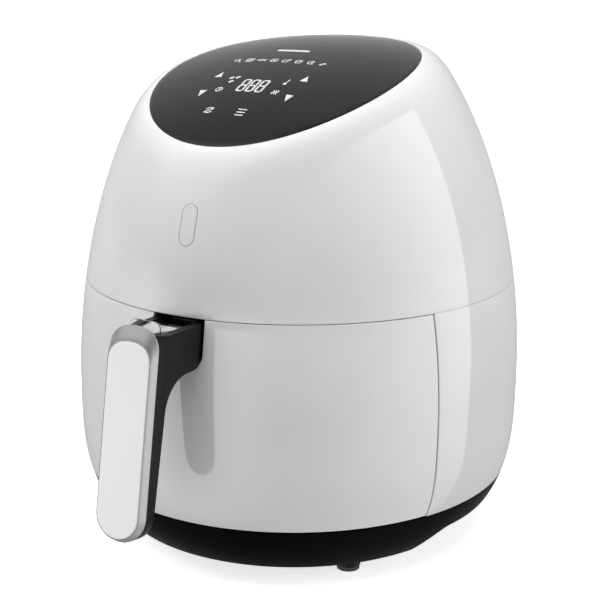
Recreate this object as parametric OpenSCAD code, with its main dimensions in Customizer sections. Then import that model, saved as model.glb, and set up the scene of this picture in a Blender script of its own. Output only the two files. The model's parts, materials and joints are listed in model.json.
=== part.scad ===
// Basket air fryer: egg-shaped housing with a touch panel on its sloping crown, a pan drawer
// that slides out of the front, and a lift-out basket whose handle has a covered release button.
// Origin: centre of the footprint, on the surface the feet stand on. The handle points to -Y.

/* [Body] */
// Greatest width of the housing
body_w = 300; // [290:1:310]
// Greatest depth of the housing, without the handle
body_d = 317.4; // [310:1:325]
// Height of the widest section
waist_z = 103; // [100:1:106]
// Distance from the widest section to the theoretical crown, seen from the front
crown_reach_w = 269.5; // [265:0.5:275]
// Distance from the widest section to the theoretical crown, seen from the side
crown_reach_d = 276; // [272:1:282]
// Wall thickness of the plastic shells
wall = 3; // [2.5:0.1:3.5]
// Height of the seam between the upper shell and the drawer
seam_z = 174; // [172:0.5:176]
// Height of the black base band
band_z = 42; // [40:0.5:44]
// Underside of the base band
base_z = 9; // [8:0.5:10]
// Distance from the body centre to the seam beside the drawer front
split_y = 69; // [66:0.5:72]

/* [Crown and panel] */
// Half width of the glass panel
panel_rx = 85.5; // [83:0.5:87]
// Half length of the glass panel, seen from above
panel_ry = 97.5; // [95:0.5:99]
// Distance of the panel centre in front of the body centre
panel_fwd = 23.3; // [21:0.1:25]
// Radius of the crown along the body
crown_r = 400; // [390:1:410]
// Radius of the crown across the body
cross_r = 880; // [800:10:1000]
// Glass thickness
glass_t = 3; // [2.5:0.1:3.5]
// Rise of the glass in its middle, above the crown
glass_dome = 4; // [0:0.5:5]

/* [Drawer, pan and basket] */
// Outer radius of the pan at its rim
pan_r = 112; // [109:0.5:113]
// Height of the pan floor above the surface
pan_z = 47; // [46:0.5:50]
// Outer radius of the basket at its rim
basket_r = 105; // [101:0.5:106]
// Sheet thickness of pan and basket
sheet_t = 1.2; // [1:0.1:1.5]
// Gap around the drawer front
drawer_gap = 0.9; // [0.7:0.1:1.2]

/* [Handle] */
// Width of the handle
grip_w = 34; // [33:0.2:37]
// Forward lean of the grip, in degrees
grip_lean = 9.2; // [8:0.1:10]
// Width of the inlaid front plate
plate_w = 28.8; // [26:0.1:29]
// Travel of the release button
button_travel = 3.5; // [3:0.1:4]

/* [Air system] */
// Radius of the hot-air fan
fan_r = 68; // [60:1:72]
// Number of hot-air fan blades
fan_blades = 10; // [6:1:12]
// Radius of the motor shaft
shaft_r = 4; // [3.5:0.1:4.5]

/* [Hidden] */

// Distance of the body centre behind the origin, so that the handle is inside the footprint
body_y = 30.1;
// Curvature of the flank below the widest section
foot_reach = 130;
foot_power = 3.5;
// Columns round a full shell, and rows up its flank
columns = 72;
flank_rows = 8;
blend_rows = 5;
under_rows = 7;
// Length of the soft shoulder, down the flank
shoulder = 13;
// Share of the land between shoulder and glass that the shoulder takes up
shoulder_share = 0.85;
// Tilt of the crown at the centre of the panel, and the centre of its arc
crown_tilt = 16.3;
crown_mid_y = -26.9;
crown_mid_z = 313.4;
arc_y = crown_mid_y + crown_r*sin(crown_tilt);
arc_z = crown_mid_z - crown_r*cos(crown_tilt);
// Recess that holds the glass
ledge_w = 6;
ledge_t = 2.4;
glass_gap = 0.3;
// Fan and motor axis, and the pan's centre
axis_y = -6;
fine = 96;
// Plain colours
white = [0.9, 0.9, 0.91];
black = [0.06, 0.06, 0.065];
steel = [0.7, 0.71, 0.73];
silver = [0.74, 0.74, 0.76];
dark_coat = [0.12, 0.12, 0.13];

// ---- Shape of the body -------------------------------------------------------------------

function flank_scale(z, reach) = z > waist_z
  ? sqrt(1 - pow((z - waist_z)/reach, 2))
  : sqrt(1 - pow((waist_z - z)/foot_reach, foot_power));
function half_w(z) = body_w/2*flank_scale(z, crown_reach_w);
function half_d(z) = body_d/2*flank_scale(z, crown_reach_d);

// A point of the flank at plan angle a (0 = front), moved inwards by inset
function flank_point(a, z, inset) =
  [(half_w(z) - inset)*sin(a), -(half_d(z) - inset)*cos(a), z];

// Height of the crown surface, which the glass follows
function crown_height(x, y) = arc_z + sqrt(crown_r*crown_r - pow(y - arc_y, 2)) - x*x/(2*cross_r);

// Distance from the panel's centre to the flank in the direction a
function flank_rho(a, z, inset) =
  let (p = half_w(z) - inset, q = half_d(z) - inset)
  let (k2 = pow(sin(a)/p, 2) + pow(cos(a)/q, 2))
  let (k1 = -panel_fwd*cos(a)/(q*q), k0 = pow(panel_fwd/q, 2) - 1)
  (k1 + sqrt(k1*k1 - k2*k0))/k2;
function panel_rho(a) = 1/sqrt(pow(sin(a)/panel_rx, 2) + pow(cos(a)/panel_ry, 2));
function polar(a, rho, z) = [rho*sin(a), -panel_fwd - rho*cos(a), z];
function on_crown(a, rho, drop) =
  polar(a, rho, crown_height(rho*sin(a), -panel_fwd - rho*cos(a)) - drop);

// Height at which the flank meets the crown, found by repeated substitution
function corner_z(a, inset, drop, z = 300, n = 12) = n == 0
  ? z
  : corner_z(a, inset, drop, on_crown(a, flank_rho(a, z, inset), drop)[2], n - 1);
function flank_polar(a, z, inset) = polar(a, flank_rho(a, z, inset), z);
function bend(p, q, r, t) = (1 - t)*(1 - t)*p + 2*t*(1 - t)*q + t*t*r;

// One meridian of the upper shell, outside, from the seam to the edge of the glass ledge
function outer_meridian(a, z0) =
  let (zc = corner_z(a, 0, 0), rc = flank_rho(a, zc, 0), rp = panel_rho(a))
  let (low = zc - shoulder, re = rc - (rc - rp)*shoulder_share)
  concat(
    [for (i = [0:flank_rows]) flank_polar(a, z0 + (low - z0)*i/flank_rows, 0)],
    [for (i = [1:blend_rows])
      bend(flank_polar(a, low, 0), polar(a, rc, zc), on_crown(a, re, 0), i/blend_rows)],
    [on_crown(a, rp, 0), on_crown(a, rp, glass_t + glass_gap)],
    [on_crown(a, rp - ledge_w, glass_t + glass_gap)]);

// The same meridian inside
function inner_meridian(a, z0) =
  let (drop = glass_t + glass_gap + ledge_t, zc = corner_z(a, wall, drop))
  let (rc = flank_rho(a, zc, wall), re = panel_rho(a) - ledge_w)
  concat(
    [for (i = [0:flank_rows + 1]) flank_polar(a, z0 + (zc - z0)*i/(flank_rows + 1), wall)],
    [for (i = [1:under_rows]) on_crown(a, rc + (re - rc)*i/under_rows, drop)]);

// ---- Solids from two skins ---------------------------------------------------------------

function cell(a, b, c, d) = [[a, b, c], [a, c, d]];

// True where a cell lies in the window [first row, last row, first column, last column]
function in_window(i, j, w) = len(w) == 4 && i >= w[0] && i < w[1] && j >= w[2] && j < w[3];

// A closed solid between two skins, each a list of columns of points
module skin_solid(outer, inner, closed = false, window = []) {
  n = len(outer);
  m = len(outer[0]);
  last = closed ? n - 1 : n - 2;
  pts = concat([for (c = outer) each c], [for (c = inner) each c]);
  function o(i, j) = (j % n)*m + i;
  function s(i, j) = n*m + (j % n)*m + i;
  w = window;
  faces = concat(
    [for (j = [0:last], i = [0:m - 2]) if (!in_window(i, j, w))
      each cell(o(i, j), o(i + 1, j), o(i + 1, j + 1), o(i, j + 1))],
    [for (j = [0:last], i = [0:m - 2]) if (!in_window(i, j, w))
      each cell(s(i, j), s(i, j + 1), s(i + 1, j + 1), s(i + 1, j))],
    [for (j = [0:last]) each cell(o(0, j), o(0, j + 1), s(0, j + 1), s(0, j))],
    [for (j = [0:last]) each cell(o(m - 1, j), s(m - 1, j), s(m - 1, j + 1), o(m - 1, j + 1))],
    closed ? [] : [for (i = [0:m - 2]) each cell(o(i, 0), s(i, 0), s(i + 1, 0), o(i + 1, 0))],
    closed ? [] : [for (i = [0:m - 2])
      each cell(o(i, n - 1), o(i + 1, n - 1), s(i + 1, n - 1), s(i, n - 1))],
    len(w) == 4 ? window_faces(w, n, m) : []);
  polyhedron(points = pts, faces = faces, convexity = 8);
}

// The four walls round a window that passes through both skins
function window_faces(w, n, m) =
  let (i0 = w[0], i1 = w[1], j0 = w[2], j1 = w[3])
  concat(
    [for (j = [j0:j1 - 1]) each cell(j*m + i0, n*m + j*m + i0, n*m + (j + 1)*m + i0,
      (j + 1)*m + i0)],
    [for (j = [j0:j1 - 1]) each cell(j*m + i1, (j + 1)*m + i1, n*m + (j + 1)*m + i1,
      n*m + j*m + i1)],
    [for (i = [i0:i1 - 1]) each cell(j0*m + i, j0*m + i + 1, n*m + j0*m + i + 1,
      n*m + j0*m + i)],
    [for (i = [i0:i1 - 1]) each cell(j1*m + i, n*m + j1*m + i, n*m + j1*m + i + 1,
      j1*m + i + 1)]);

// Everything that is laid out from the body's own centre line
module on_body() translate([0, body_y, 0]) children();

// Oval of the body at height z, as a flat outline
module oval(z, inset, n = columns)
  polygon([for (i = [0:n - 1]) let (p = flank_point(360*i/n, z, inset)) [p[0], p[1]]]);

function arc_points(cy, cz, r, a0, a1, n) =
  [for (i = [0:n]) [cy + r*cos(a0 + (a1 - a0)*i/n), cz + r*sin(a0 + (a1 - a0)*i/n)]];

// ---- Housing -----------------------------------------------------------------------------

upper_z0 = seam_z + 0.6;
// Rows and columns of the air outlet in the rear of the upper shell
vent = [1, 3, 33, 39];

module upper_shell() color(white) on_body()
  skin_solid(
    [for (j = [0:columns - 1]) outer_meridian(360*j/columns, upper_z0)],
    [for (j = [0:columns - 1]) inner_meridian(360*j/columns, upper_z0)],
    closed = true, window = vent);

rear_z0 = band_z + 0.1;
rear_z1 = upper_z0 - 0.1;
rear_rows = 8;
rear_columns = 40;
// Window for the cord gland: rows and columns of the rear shell's grid
gland_window = [1, 2, 19, 21];

// Plan angle at which the flank crosses the plane y = -cut
function cut_angle(z, inset, cut) = acos(cut/(half_d(z) - inset));

function rear_column(j, inset) =
  [for (i = [0:rear_rows]) let (z = rear_z0 + (rear_z1 - rear_z0)*i/rear_rows)
    let (a0 = cut_angle(z, inset, split_y - drawer_gap/2))
    flank_point(a0 + (360 - 2*a0)*j/rear_columns, z, inset)];

module rear_shell() color(white) on_body()
  skin_solid([for (j = [0:rear_columns]) rear_column(j, 0)],
    [for (j = [0:rear_columns]) rear_column(j, wall)], window = gland_window);

// The lower edge of the band lifts over a hand grip on each side
grip_from = 62;
grip_to = 118;
grip_ramp = 14;
grip_lift = 15;
function ramp(t) = t <= 0 ? 0 : t >= 1 ? 1 : t*t*(3 - 2*t);
function band_foot(a) = let (s = a > 180 ? 360 - a : a)
  base_z + grip_lift*ramp((s - grip_from)/grip_ramp)*ramp((grip_to - s)/grip_ramp);
band_rows = 5;
function band_column(a, inset) =
  [for (i = [0:band_rows]) let (z = band_foot(a) + (band_z - band_foot(a))*i/band_rows)
    flank_point(a, z, inset)];

module base_band() color(black) on_body()
  skin_solid([for (j = [0:columns - 1]) band_column(360*j/columns, 0)],
    [for (j = [0:columns - 1]) band_column(360*j/columns, wall)], closed = true);

foot_x = 80;
foot_y = 79;
foot_r = 8;
pad_t = 3;
plate_z = 25;
plate_t = 3;
screw_r = 2;
// Air slots in the base plate, on each side of its middle
slot_count = 4;
slot_pitch = 12;
slot_size = [70, 5];
module foot_places() for (x = [-foot_x, foot_x], y = [-foot_y, foot_y]) translate([x, y, 0])
  children();

module base_plate() color(black) on_body() difference() {
  translate([0, 0, plate_z]) linear_extrude(plate_t) oval(plate_z, wall + 0.3);
  foot_places() translate([0, 0, plate_z - 1]) cylinder(r = screw_r + 0.3, h = plate_t + 2);
  for (i = [-slot_count:slot_count]) translate([0, i*slot_pitch, plate_z - 1])
    linear_extrude(plate_t + 2) square(slot_size, center = true);
}

module feet() color(dark_coat) on_body() foot_places() difference() {
  translate([0, 0, pad_t]) cylinder(r = foot_r, h = plate_z - pad_t, $fn = fine);
  translate([0, 0, pad_t + 4]) cylinder(r = screw_r + 0.05, h = plate_z, $fn = 32);
}

module foot_pads() color([0.16, 0.16, 0.17]) on_body() foot_places()
  cylinder(r = foot_r - 0.6, h = pad_t, $fn = fine);

module base_screws() color(steel) on_body() foot_places() {
  translate([0, 0, pad_t + 6]) cylinder(r = screw_r, h = plate_z + plate_t - pad_t - 6, $fn = 32);
  translate([0, 0, plate_z + plate_t]) cylinder(r = 2*screw_r, h = 2, $fn = 32);
}

glass_rings = 5;
glass_columns = 60;
glass_inset = 0.4;
glass_bevel = 0.7;
function glass_point(k, a, drop) =
  let (edge = panel_rho(a) - glass_inset, share = k/glass_rings)
  k > glass_rings ? on_crown(a, edge, max(drop, glass_bevel)) :
  on_crown(a, (edge - glass_bevel)*share, drop - glass_dome*(1 - share*share));

glass_last = glass_rings + 1;
function glass_top(k, j) = 2 + (k - 1)*glass_columns + (j % glass_columns);
function glass_low(k, j) = glass_top(k, j) + glass_last*glass_columns;
module panel_glass() color([0.08, 0.08, 0.09]) on_body() {
  last = glass_columns - 1;
  pts = concat(
    [glass_point(0, 0, 0), glass_point(0, 0, glass_t)],
    [for (k = [1:glass_last], j = [0:last]) glass_point(k, 360*j/glass_columns, 0)],
    [for (k = [1:glass_last], j = [0:last]) glass_point(k, 360*j/glass_columns, glass_t)]);
  faces = concat(
    [for (j = [0:last]) [0, glass_top(1, j + 1), glass_top(1, j)]],
    [for (j = [0:last]) [1, glass_low(1, j), glass_low(1, j + 1)]],
    [for (k = [1:glass_last - 1], j = [0:last]) each cell(glass_top(k, j),
      glass_top(k, j + 1), glass_top(k + 1, j + 1), glass_top(k + 1, j))],
    [for (k = [1:glass_last - 1], j = [0:last]) each cell(glass_low(k, j),
      glass_low(k + 1, j), glass_low(k + 1, j + 1), glass_low(k, j + 1))],
    [for (j = [0:last]) each cell(glass_top(glass_last, j),
      glass_top(glass_last, j + 1), glass_low(glass_last, j + 1), glass_low(glass_last, j))]);
  polyhedron(points = pts, faces = faces, convexity = 4);
}

// Flat stack under the touch area: a frame against the glass and the board on its posts
display_y = -58;
display_tilt = 21.5;
display_depth = 13.6;
display_w = 108;
display_l = 76;
module under_glass(depth) translate([0, display_y, crown_height(0, display_y) - depth])
  rotate([display_tilt, 0, 0]) children();

display_border = 6;
display_frame_t = 4;
module display_frame() color(black) on_body() under_glass(display_depth)
  linear_extrude(display_frame_t) difference() {
    square([display_w, display_l], center = true);
    square([display_w, display_l] - 2*[display_border, display_border], center = true);
  }

board_t = 1.6;
digits_size = [48, 22, 3.5];
touch_spring_x = [-40, -14, 14, 40];
touch_spring_y = 16;
module display_board() color([0.1, 0.3, 0.16]) on_body() under_glass(display_depth) {
  translate([0, 0, -board_t - 0.1]) linear_extrude(board_t)
    square([display_w, display_l], center = true);
  translate([-digits_size[0]/2, 2 - digits_size[1], -0.1]) cube(digits_size);
  for (x = touch_spring_x) translate([x, touch_spring_y, -board_t - 4.6])
    cylinder(r = 3, h = 4.5, $fn = 32);
}

// Flush pill-shaped insert on the front of the upper shell, one thin solid
pill_z = 227.6;
pill_w = 10.2;
pill_h = 24;
pill_t = 0.35;
pill_rows = 16;
function pill_half(z) = let (s = abs(z - pill_z), straight = (pill_h - pill_w)/2)
  s <= straight ? pill_w/2 : sqrt(max(0.2, pow(pill_w/2, 2) - pow(s - straight, 2)));
function pill_column(k, inset) =
  [for (i = [0:pill_rows]) let (z = pill_z - pill_h/2 + pill_h*i/pill_rows)
    flank_point(asin(pill_half(z)*k/half_w(z)), z, inset)];
module pill_insert() color(white) on_body()
  skin_solid([for (k = [-4:4]) pill_column(k/4, -pill_t)],
    [for (k = [-4:4]) pill_column(k/4, -0.02)]);

// A patch of the flank between two angles and two heights
module flank_patch(a0, a1, z0, z1, out, inn, n = 6)
  skin_solid(
    [for (j = [0:n]) [for (z = [z0, z1]) flank_polar(a0 + (a1 - a0)*j/n, z, out)]],
    [for (j = [0:n]) [for (z = [z0, z1]) flank_polar(a0 + (a1 - a0)*j/n, z, inn)]]);

vent_z0 = 192.8;
vent_z1 = 225.2;
vent_a0 = 165.5;
vent_a1 = 194.5;
louvres = 7;
louvre_ribs = [166, 173, 187, 194];
module air_grille() color([0.25, 0.25, 0.26]) on_body() {
  step = (vent_z1 - vent_z0)/louvres;
  for (i = [0:louvres - 1])
    flank_patch(vent_a0, vent_a1, vent_z0 + i*step, vent_z0 + (i + 0.55)*step, 0.8, 2.4);
  for (a = louvre_ribs)
    flank_patch(a - 0.7, a + 0.7, vent_z0, vent_z1 - 0.45*step, 2.2, 5, 2);
}

// Bushing for the mains lead, low in the rear shell, behind a cover plate that follows the wall
gland_z = 67;
gland_r = 3.6;
gland_plate = 1.2;
gland_angle = 6.6;
gland_body_r = 7.4;
gland_body_l = 22;
gland_rows = [56.5, 61.7, 67, 72.2, 77.4];
module cord_gland() color(black) on_body() difference() {
  union() {
    skin_solid([for (k = [-4:4]) gland_column(k/4, -gland_plate)],
      [for (k = [-4:4]) gland_column(k/4, -0.05)]);
    translate([0, body_d/2 + gland_plate + 1, gland_z]) rotate([90, 0, 0])
      cylinder(r = gland_body_r, h = gland_body_l, $fn = fine);
  }
  translate([0, body_d/2 + 5, gland_z]) rotate([90, 0, 0]) cylinder(r = gland_r, h = 30, $fn = 64);
}
function gland_column(u, inset) =
  [for (z = gland_rows) flank_point(180 + u*gland_angle, z, inset)];

// ---- Drawer bay and hot-air chamber ------------------------------------------------------

ceiling_z = 177;
ceiling_t = 2;
chamber_r = 118;
chamber_top = 232;
chamber_t = 1;
chamber_hole = 12;
module bay_ceiling() color(black) on_body() difference() {
  translate([0, 0, ceiling_z]) linear_extrude(ceiling_t) oval(ceiling_z + ceiling_t, wall + 0.4);
  translate([0, axis_y, ceiling_z - 1]) cylinder(r = chamber_r + 0.3, h = 4, $fn = fine);
}

module chamber_wall() color(steel) translate([0, body_y + axis_y, 0]) difference() {
  rotate_extrude($fn = fine) polygon([
    [chamber_r - chamber_t, ceiling_z - 1], [chamber_r, ceiling_z - 1],
    [chamber_r, chamber_top], [chamber_hole, chamber_top],
    [chamber_hole, chamber_top - chamber_t], [chamber_r - chamber_t, chamber_top - chamber_t]]);
  for (a = coil_lead_angles) rotate(a) translate([coil_r, 0, chamber_top - 3])
    cylinder(r = coil_tube_r + 1, h = 5, $fn = 32);
  translate([0, sensor_y, chamber_top - 3]) cylinder(r = sensor_r + 0.3, h = 5, $fn = 32);
}

// Tubular element: two open rings joined at one end, with two leads up through the roof
coil_r = 92;
coil_inner_r = 68;
coil_tube_r = 3.3;
coil_z = 196;
coil_lead_angles = [264, 276];
coil_lead_h = 52;
clip_w = 6;
clip_t = 1.2;
module ring_tube(r, a0, a1) rotate([0, 0, a0]) rotate_extrude(angle = a1 - a0, $fn = fine)
  translate([r, 0]) circle(r = coil_tube_r, $fn = 32);

module heating_coil() color([0.2, 0.2, 0.21]) translate([0, body_y + axis_y, coil_z]) {
  ring_tube(coil_r, coil_lead_angles[1] - 360, coil_lead_angles[0]);
  for (a = coil_lead_angles) rotate(a) translate([coil_r, 0, 0])
    cylinder(r = coil_tube_r, h = coil_lead_h, $fn = 32);
  ring_tube(coil_inner_r, coil_lead_angles[1] - 360, coil_lead_angles[0]);
  rotate(coil_lead_angles[1]) translate([coil_inner_r, 0, 0]) rotate([0, 90, 0])
    cylinder(r = coil_tube_r, h = coil_r - coil_inner_r, $fn = 32);
}

module coil_clips() color(steel) translate([0, body_y + axis_y, 0])
  for (a = [0, 90, 180]) rotate(a) {
    translate([coil_inner_r - 5, -clip_w/2, coil_z - coil_tube_r - clip_t - 0.2])
      cube([coil_r - coil_inner_r + 10, clip_w, clip_t]);
    translate([(coil_r + coil_inner_r - clip_t)/2, -clip_w/2, coil_z - coil_tube_r - 0.3])
      cube([clip_t, clip_w, chamber_top - chamber_t + 0.2 - coil_z + coil_tube_r]);
  }

// Pressed guard under the coil: three rings, a hub and four bars, held by ears at the wall
guard_z = 183;
guard_bar = 2;
guard_r = 108;
guard_ear = 116.7;
guard_t = 1.4;
module heater_guard() color(steel) translate([0, body_y + axis_y, guard_z])
linear_extrude(guard_t) {
  for (r = [guard_r/3, guard_r*2/3, guard_r]) difference() {
    circle(r = r + guard_bar, $fn = fine);
    circle(r = r, $fn = fine);
  }
  circle(r = 3*guard_bar, $fn = 48);
  for (a = [0:45:315]) rotate(a) translate([2*guard_bar, -guard_bar/2])
    square([guard_r + guard_bar/2 - 2*guard_bar, guard_bar]);
  for (a = [0:90:270]) rotate(a) translate([guard_r + guard_bar/2, -4])
    square([guard_ear - guard_r - guard_bar/2, 8]);
}

deflector_z = 206;
module air_deflector() color(steel) translate([0, body_y + axis_y, 0]) {
  rotate_extrude($fn = fine) polygon([
    [fan_r + 6, deflector_z], [fan_r + 7, deflector_z], [fan_r + 7, chamber_top - 3],
    [fan_r + 9, chamber_top - 3], [fan_r + 9, chamber_top - 2], [fan_r + 6, chamber_top - 2]]);
  for (a = [30:120:270]) rotate(a) translate([fan_r + 7, -3, chamber_top - 2.1])
    cube([6, 6, 1.1]);
}

motor_z = 243;
motor_h = 34;
motor_r = 31;
motor_plate_size = [120, 40];
motor_plate_t = 2;
motor_bolt_x = [-24, 24];
motor_bolt_r = 2;
motor_frame_size = [76, 28, 20];
module motor_plate() color(steel) translate([0, body_y + axis_y, 0]) difference() {
  union() {
    translate([0, 0, motor_z - 1 - motor_plate_t]) linear_extrude(motor_plate_t)
      square(motor_plate_size, center = true);
    for (s = [-1, 1]) translate([s*(motor_plate_size[0] - motor_plate_t)/2, 0, chamber_top])
      linear_extrude(motor_z - chamber_top - 1)
        square([motor_plate_t, motor_plate_size[1]], center = true);
  }
  translate([0, 0, motor_z - 5]) cylinder(r = 11, h = 6, $fn = 64);
  for (x = motor_bolt_x) translate([x, 0, motor_z - 5])
    cylinder(r = motor_bolt_r + 0.1, h = 6, $fn = 32);
}

module motor() color([0.45, 0.46, 0.48]) translate([0, body_y + axis_y, 0]) difference() {
  union() {
    translate([0, 0, motor_z - 0.9]) cylinder(r = motor_r, h = motor_h, $fn = fine);
    translate([0, 0, motor_z + motor_h - 1]) cylinder(r = 10, h = 5, $fn = 64);
    translate([-motor_frame_size[0]/2, -motor_frame_size[1]/2, motor_z + 6])
      cube(motor_frame_size);
  }
  translate([0, 0, motor_z - 5]) cylinder(r = shaft_r + 0.05, h = motor_h + 20, $fn = 64);
  for (x = motor_bolt_x) translate([x, 0, motor_z - 2])
    cylinder(r = motor_bolt_r, h = 10, $fn = 32);
}

module motor_bolts() color(steel) translate([0, body_y + axis_y, 0]) for (x = motor_bolt_x)
  translate([x, 0, motor_z - 6]) {
    cylinder(r = motor_bolt_r, h = 12, $fn = 32);
    cylinder(r = 3.6, h = 3, $fn = 6);
  }

board_y = 84;
board_z = 240;
board_size = [90, board_t, 50];
transformer_size = [26, 18, 24];
relay_size = [20, 14, 16];
capacitor_x = [-2, 36];
capacitor_l = 16;
module power_board() color([0.1, 0.32, 0.18]) on_body() translate([0, board_y, board_z]) {
  translate([-board_size[0]/2, 0, 0]) cube(board_size);
  translate([-36, -transformer_size[1], 8]) cube(transformer_size);
  translate([12, -relay_size[1], 10]) cube(relay_size);
  for (x = capacitor_x) translate([x, -capacitor_l, 42]) rotate([-90, 0, 0])
    cylinder(r = 4, h = capacitor_l, $fn = 32);
}

sensor_y = 104;
sensor_r = 2.4;
module temperature_sensor() color(steel) translate([0, body_y + axis_y + sensor_y, 0]) {
  translate([0, 0, 200]) cylinder(r = sensor_r, h = 40, $fn = 32);
  translate([0, 0, chamber_top]) cylinder(r = 6, h = 3, $fn = 6);
}

switch_y = 128;
switch_z = 128;
switch_size = [20, 12, 24];
switch_travel = 3.5;
module drawer_switch() color(dark_coat) on_body() translate([0, switch_y, switch_z]) {
  translate([-switch_size[0]/2, 0, 0]) cube(switch_size);
  translate([0, -switch_travel, switch_size[2]/2]) rotate([-90, 0, 0])
    cylinder(r = 2.5, h = switch_travel + 0.5, $fn = 32);
}

// Steel tray inside the housing: floor, side cheeks and the rails that carry the pan
frame_x = 125.5;
frame_t = 1.5;
rail_z = 158;
rail_top = 166.4;
rail_w = 10;
rail_y = -60;
rail_l = 112;
module drawer_frame() color([0.5, 0.5, 0.52]) on_body() {
  translate([0, 0, band_z + 0.4]) linear_extrude(1.2) difference() {
    oval(band_z + 1, wall + 1.2);
    translate([-body_w, -body_d]) square([2*body_w, body_d - split_y + 4]);
  }
  for (s = [-1, 1]) scale([s, 1, 1]) {
    translate([frame_x, rail_y, band_z + 0.5]) cube([frame_t, rail_l, rail_top - band_z - 0.5]);
    translate([frame_x - rail_w, rail_y, rail_top - 2]) cube([rail_w + 0.2, rail_l, 2]);
    translate([frame_x - rail_w, rail_y, rail_z]) cube([frame_t, rail_l, rail_top - rail_z - 1]);
  }
}

// ---- Fan rotor ---------------------------------------------------------------------------

fan_z = 210;
fan_h = 16;
shaft_l = 92;
module motor_shaft() color(steel) translate([0, body_y + axis_y, fan_z - 6])
  cylinder(r = shaft_r, h = shaft_l, $fn = 64);

module bladed(r, hub, h, blades, lean) {
  difference() {
    union() {
      cylinder(r = hub, h = h, $fn = 64);
      cylinder(r = r, h = 1.2, $fn = fine);
      for (i = [0:blades - 1]) rotate(360*i/blades) translate([hub*0.8, -0.6, 1]) rotate(lean)
        cube([r - hub*0.8 - 3, 1.2, h - 1]);
    }
    translate([0, 0, -1]) cylinder(r = shaft_r, h = h + 2, $fn = 64);
  }
}

module hot_air_fan() color(steel) translate([0, body_y + axis_y, fan_z])
  bladed(fan_r, 12, fan_h, fan_blades, 8);

cool_z = 283;
cool_r = 34;
cool_h = 9;
cool_blades = 9;
module cooling_fan() color(silver) translate([0, body_y + axis_y, cool_z])
  bladed(cool_r, 10, cool_h, cool_blades, 8);

module fan_nuts() color(steel) translate([0, body_y + axis_y, 0])
  for (z = [fan_z - 4.2, cool_z + 9.2]) translate([0, 0, z]) difference() {
    cylinder(r = 7, h = 4, $fn = 6);
    translate([0, 0, -1]) cylinder(r = shaft_r, h = 6, $fn = 64);
  }

// ---- Drawer ------------------------------------------------------------------------------

front_z0 = band_z + drawer_gap;
front_z1 = seam_z - 0.6;
front_rows = 12;
front_side = 18;
notch_half = 18.2;
notch_z = 146.8;
notch_r = 5;
notch_steps = [-1, -0.92, -0.8, -0.4, 0, 0.4, 0.8, 0.92, 1];

// Top edge of the drawer front at distance x from its centre line
function front_top(x) = let (s = abs(x) - (notch_half - notch_r))
  abs(x) > notch_half ? front_z1 : s <= 0 ? notch_z
  : notch_z + notch_r - sqrt(max(0, notch_r*notch_r - s*s));

// Plan angles of the side columns run from the notch to the side seam
function front_side_angle(k, z, inset) =
  let (a0 = asin((notch_half + 0.2)/(half_w(z) - inset)))
  let (a1 = cut_angle(z, inset, split_y + drawer_gap/2))
  a0 + (a1 - a0)*k/front_side;
function front_column_side(k, side, inset) =
  [for (i = [0:front_rows]) let (z = front_z0 + (front_z1 - front_z0)*i/front_rows)
    flank_point(side*front_side_angle(k, z, inset), z, inset)];
function front_column_notch(u, inset) =
  [for (i = [0:front_rows])
    let (z = front_z0 + (front_top(u*notch_half) - front_z0)*i/front_rows)
    flank_point(asin(u*notch_half/(half_w(z) - inset)), z, inset)];
function front_skin(inset) = concat(
  [for (k = [front_side:-1:0]) front_column_side(k, -1, inset)],
  [for (u = notch_steps) front_column_notch(u, inset)],
  [for (k = [0:front_side]) front_column_side(k, 1, inset)]);

module drawer_front() color(white) on_body() skin_solid(front_skin(0), front_skin(wall));

// Flat plates that tie the curved front to the pan
module front_plate(z, t, hole) translate([0, 0, z]) linear_extrude(t) difference() {
  oval(z > waist_z ? z + t : z, wall + 0.4);
  translate([-body_w, -split_y - drawer_gap/2]) square([2*body_w, body_d]);
  translate([0, axis_y]) circle(r = hole, $fn = fine);
}

top_plate_z = 165;
tie_t = 2;
module drawer_top_plate() color(dark_coat) on_body() difference() {
  front_plate(top_plate_z, tie_t, pan_r + 0.3);
  translate([-notch_half, -body_d/2, top_plate_z - 1]) cube([2*notch_half, 26, 4]);
  for (a = pan_screw_angles) rotate_about_pan(a) translate([pan_screw_r, 0, top_plate_z - 1])
    cylinder(r = 1.7, h = 4, $fn = 32);
}

module drawer_bottom_plate() color(dark_coat) on_body() front_plate(front_z0 + 1, tie_t, 0);

pan_screw_r = pan_r + 3;
pan_screw_angles = [-118, -62];
module rotate_about_pan(a) translate([0, axis_y, 0]) rotate(a) children();

pan_top = top_plate_z + 2.2;
module pan() color(dark_coat) translate([0, body_y + axis_y, 0]) difference() {
  rotate_extrude($fn = fine) polygon([
    [0, pan_z], [pan_r - 10, pan_z], [pan_r - 8, pan_z + 2], [pan_r, pan_top],
    [pan_r + 6, pan_top], [pan_r + 6, pan_top + sheet_t],
    [pan_r - sheet_t, pan_top + sheet_t], [pan_r - 8 - sheet_t, pan_z + 2.4],
    [pan_r - 10.4, pan_z + sheet_t], [0, pan_z + sheet_t]]);
  for (a = pan_screw_angles) rotate(a) translate([pan_screw_r, 0, pan_top - 1])
    cylinder(r = 1.7, h = 4, $fn = 32);
}

module pan_screws() color(steel) on_body() for (a = pan_screw_angles) rotate_about_pan(a)
  translate([pan_screw_r, 0, top_plate_z - 5]) {
    cylinder(r = 1.6, h = pan_top + sheet_t - top_plate_z + 5, $fn = 32);
    translate([0, 0, pan_top + sheet_t - top_plate_z + 5]) cylinder(r = 2.1, h = 0.7, $fn = 32);
  }

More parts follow.
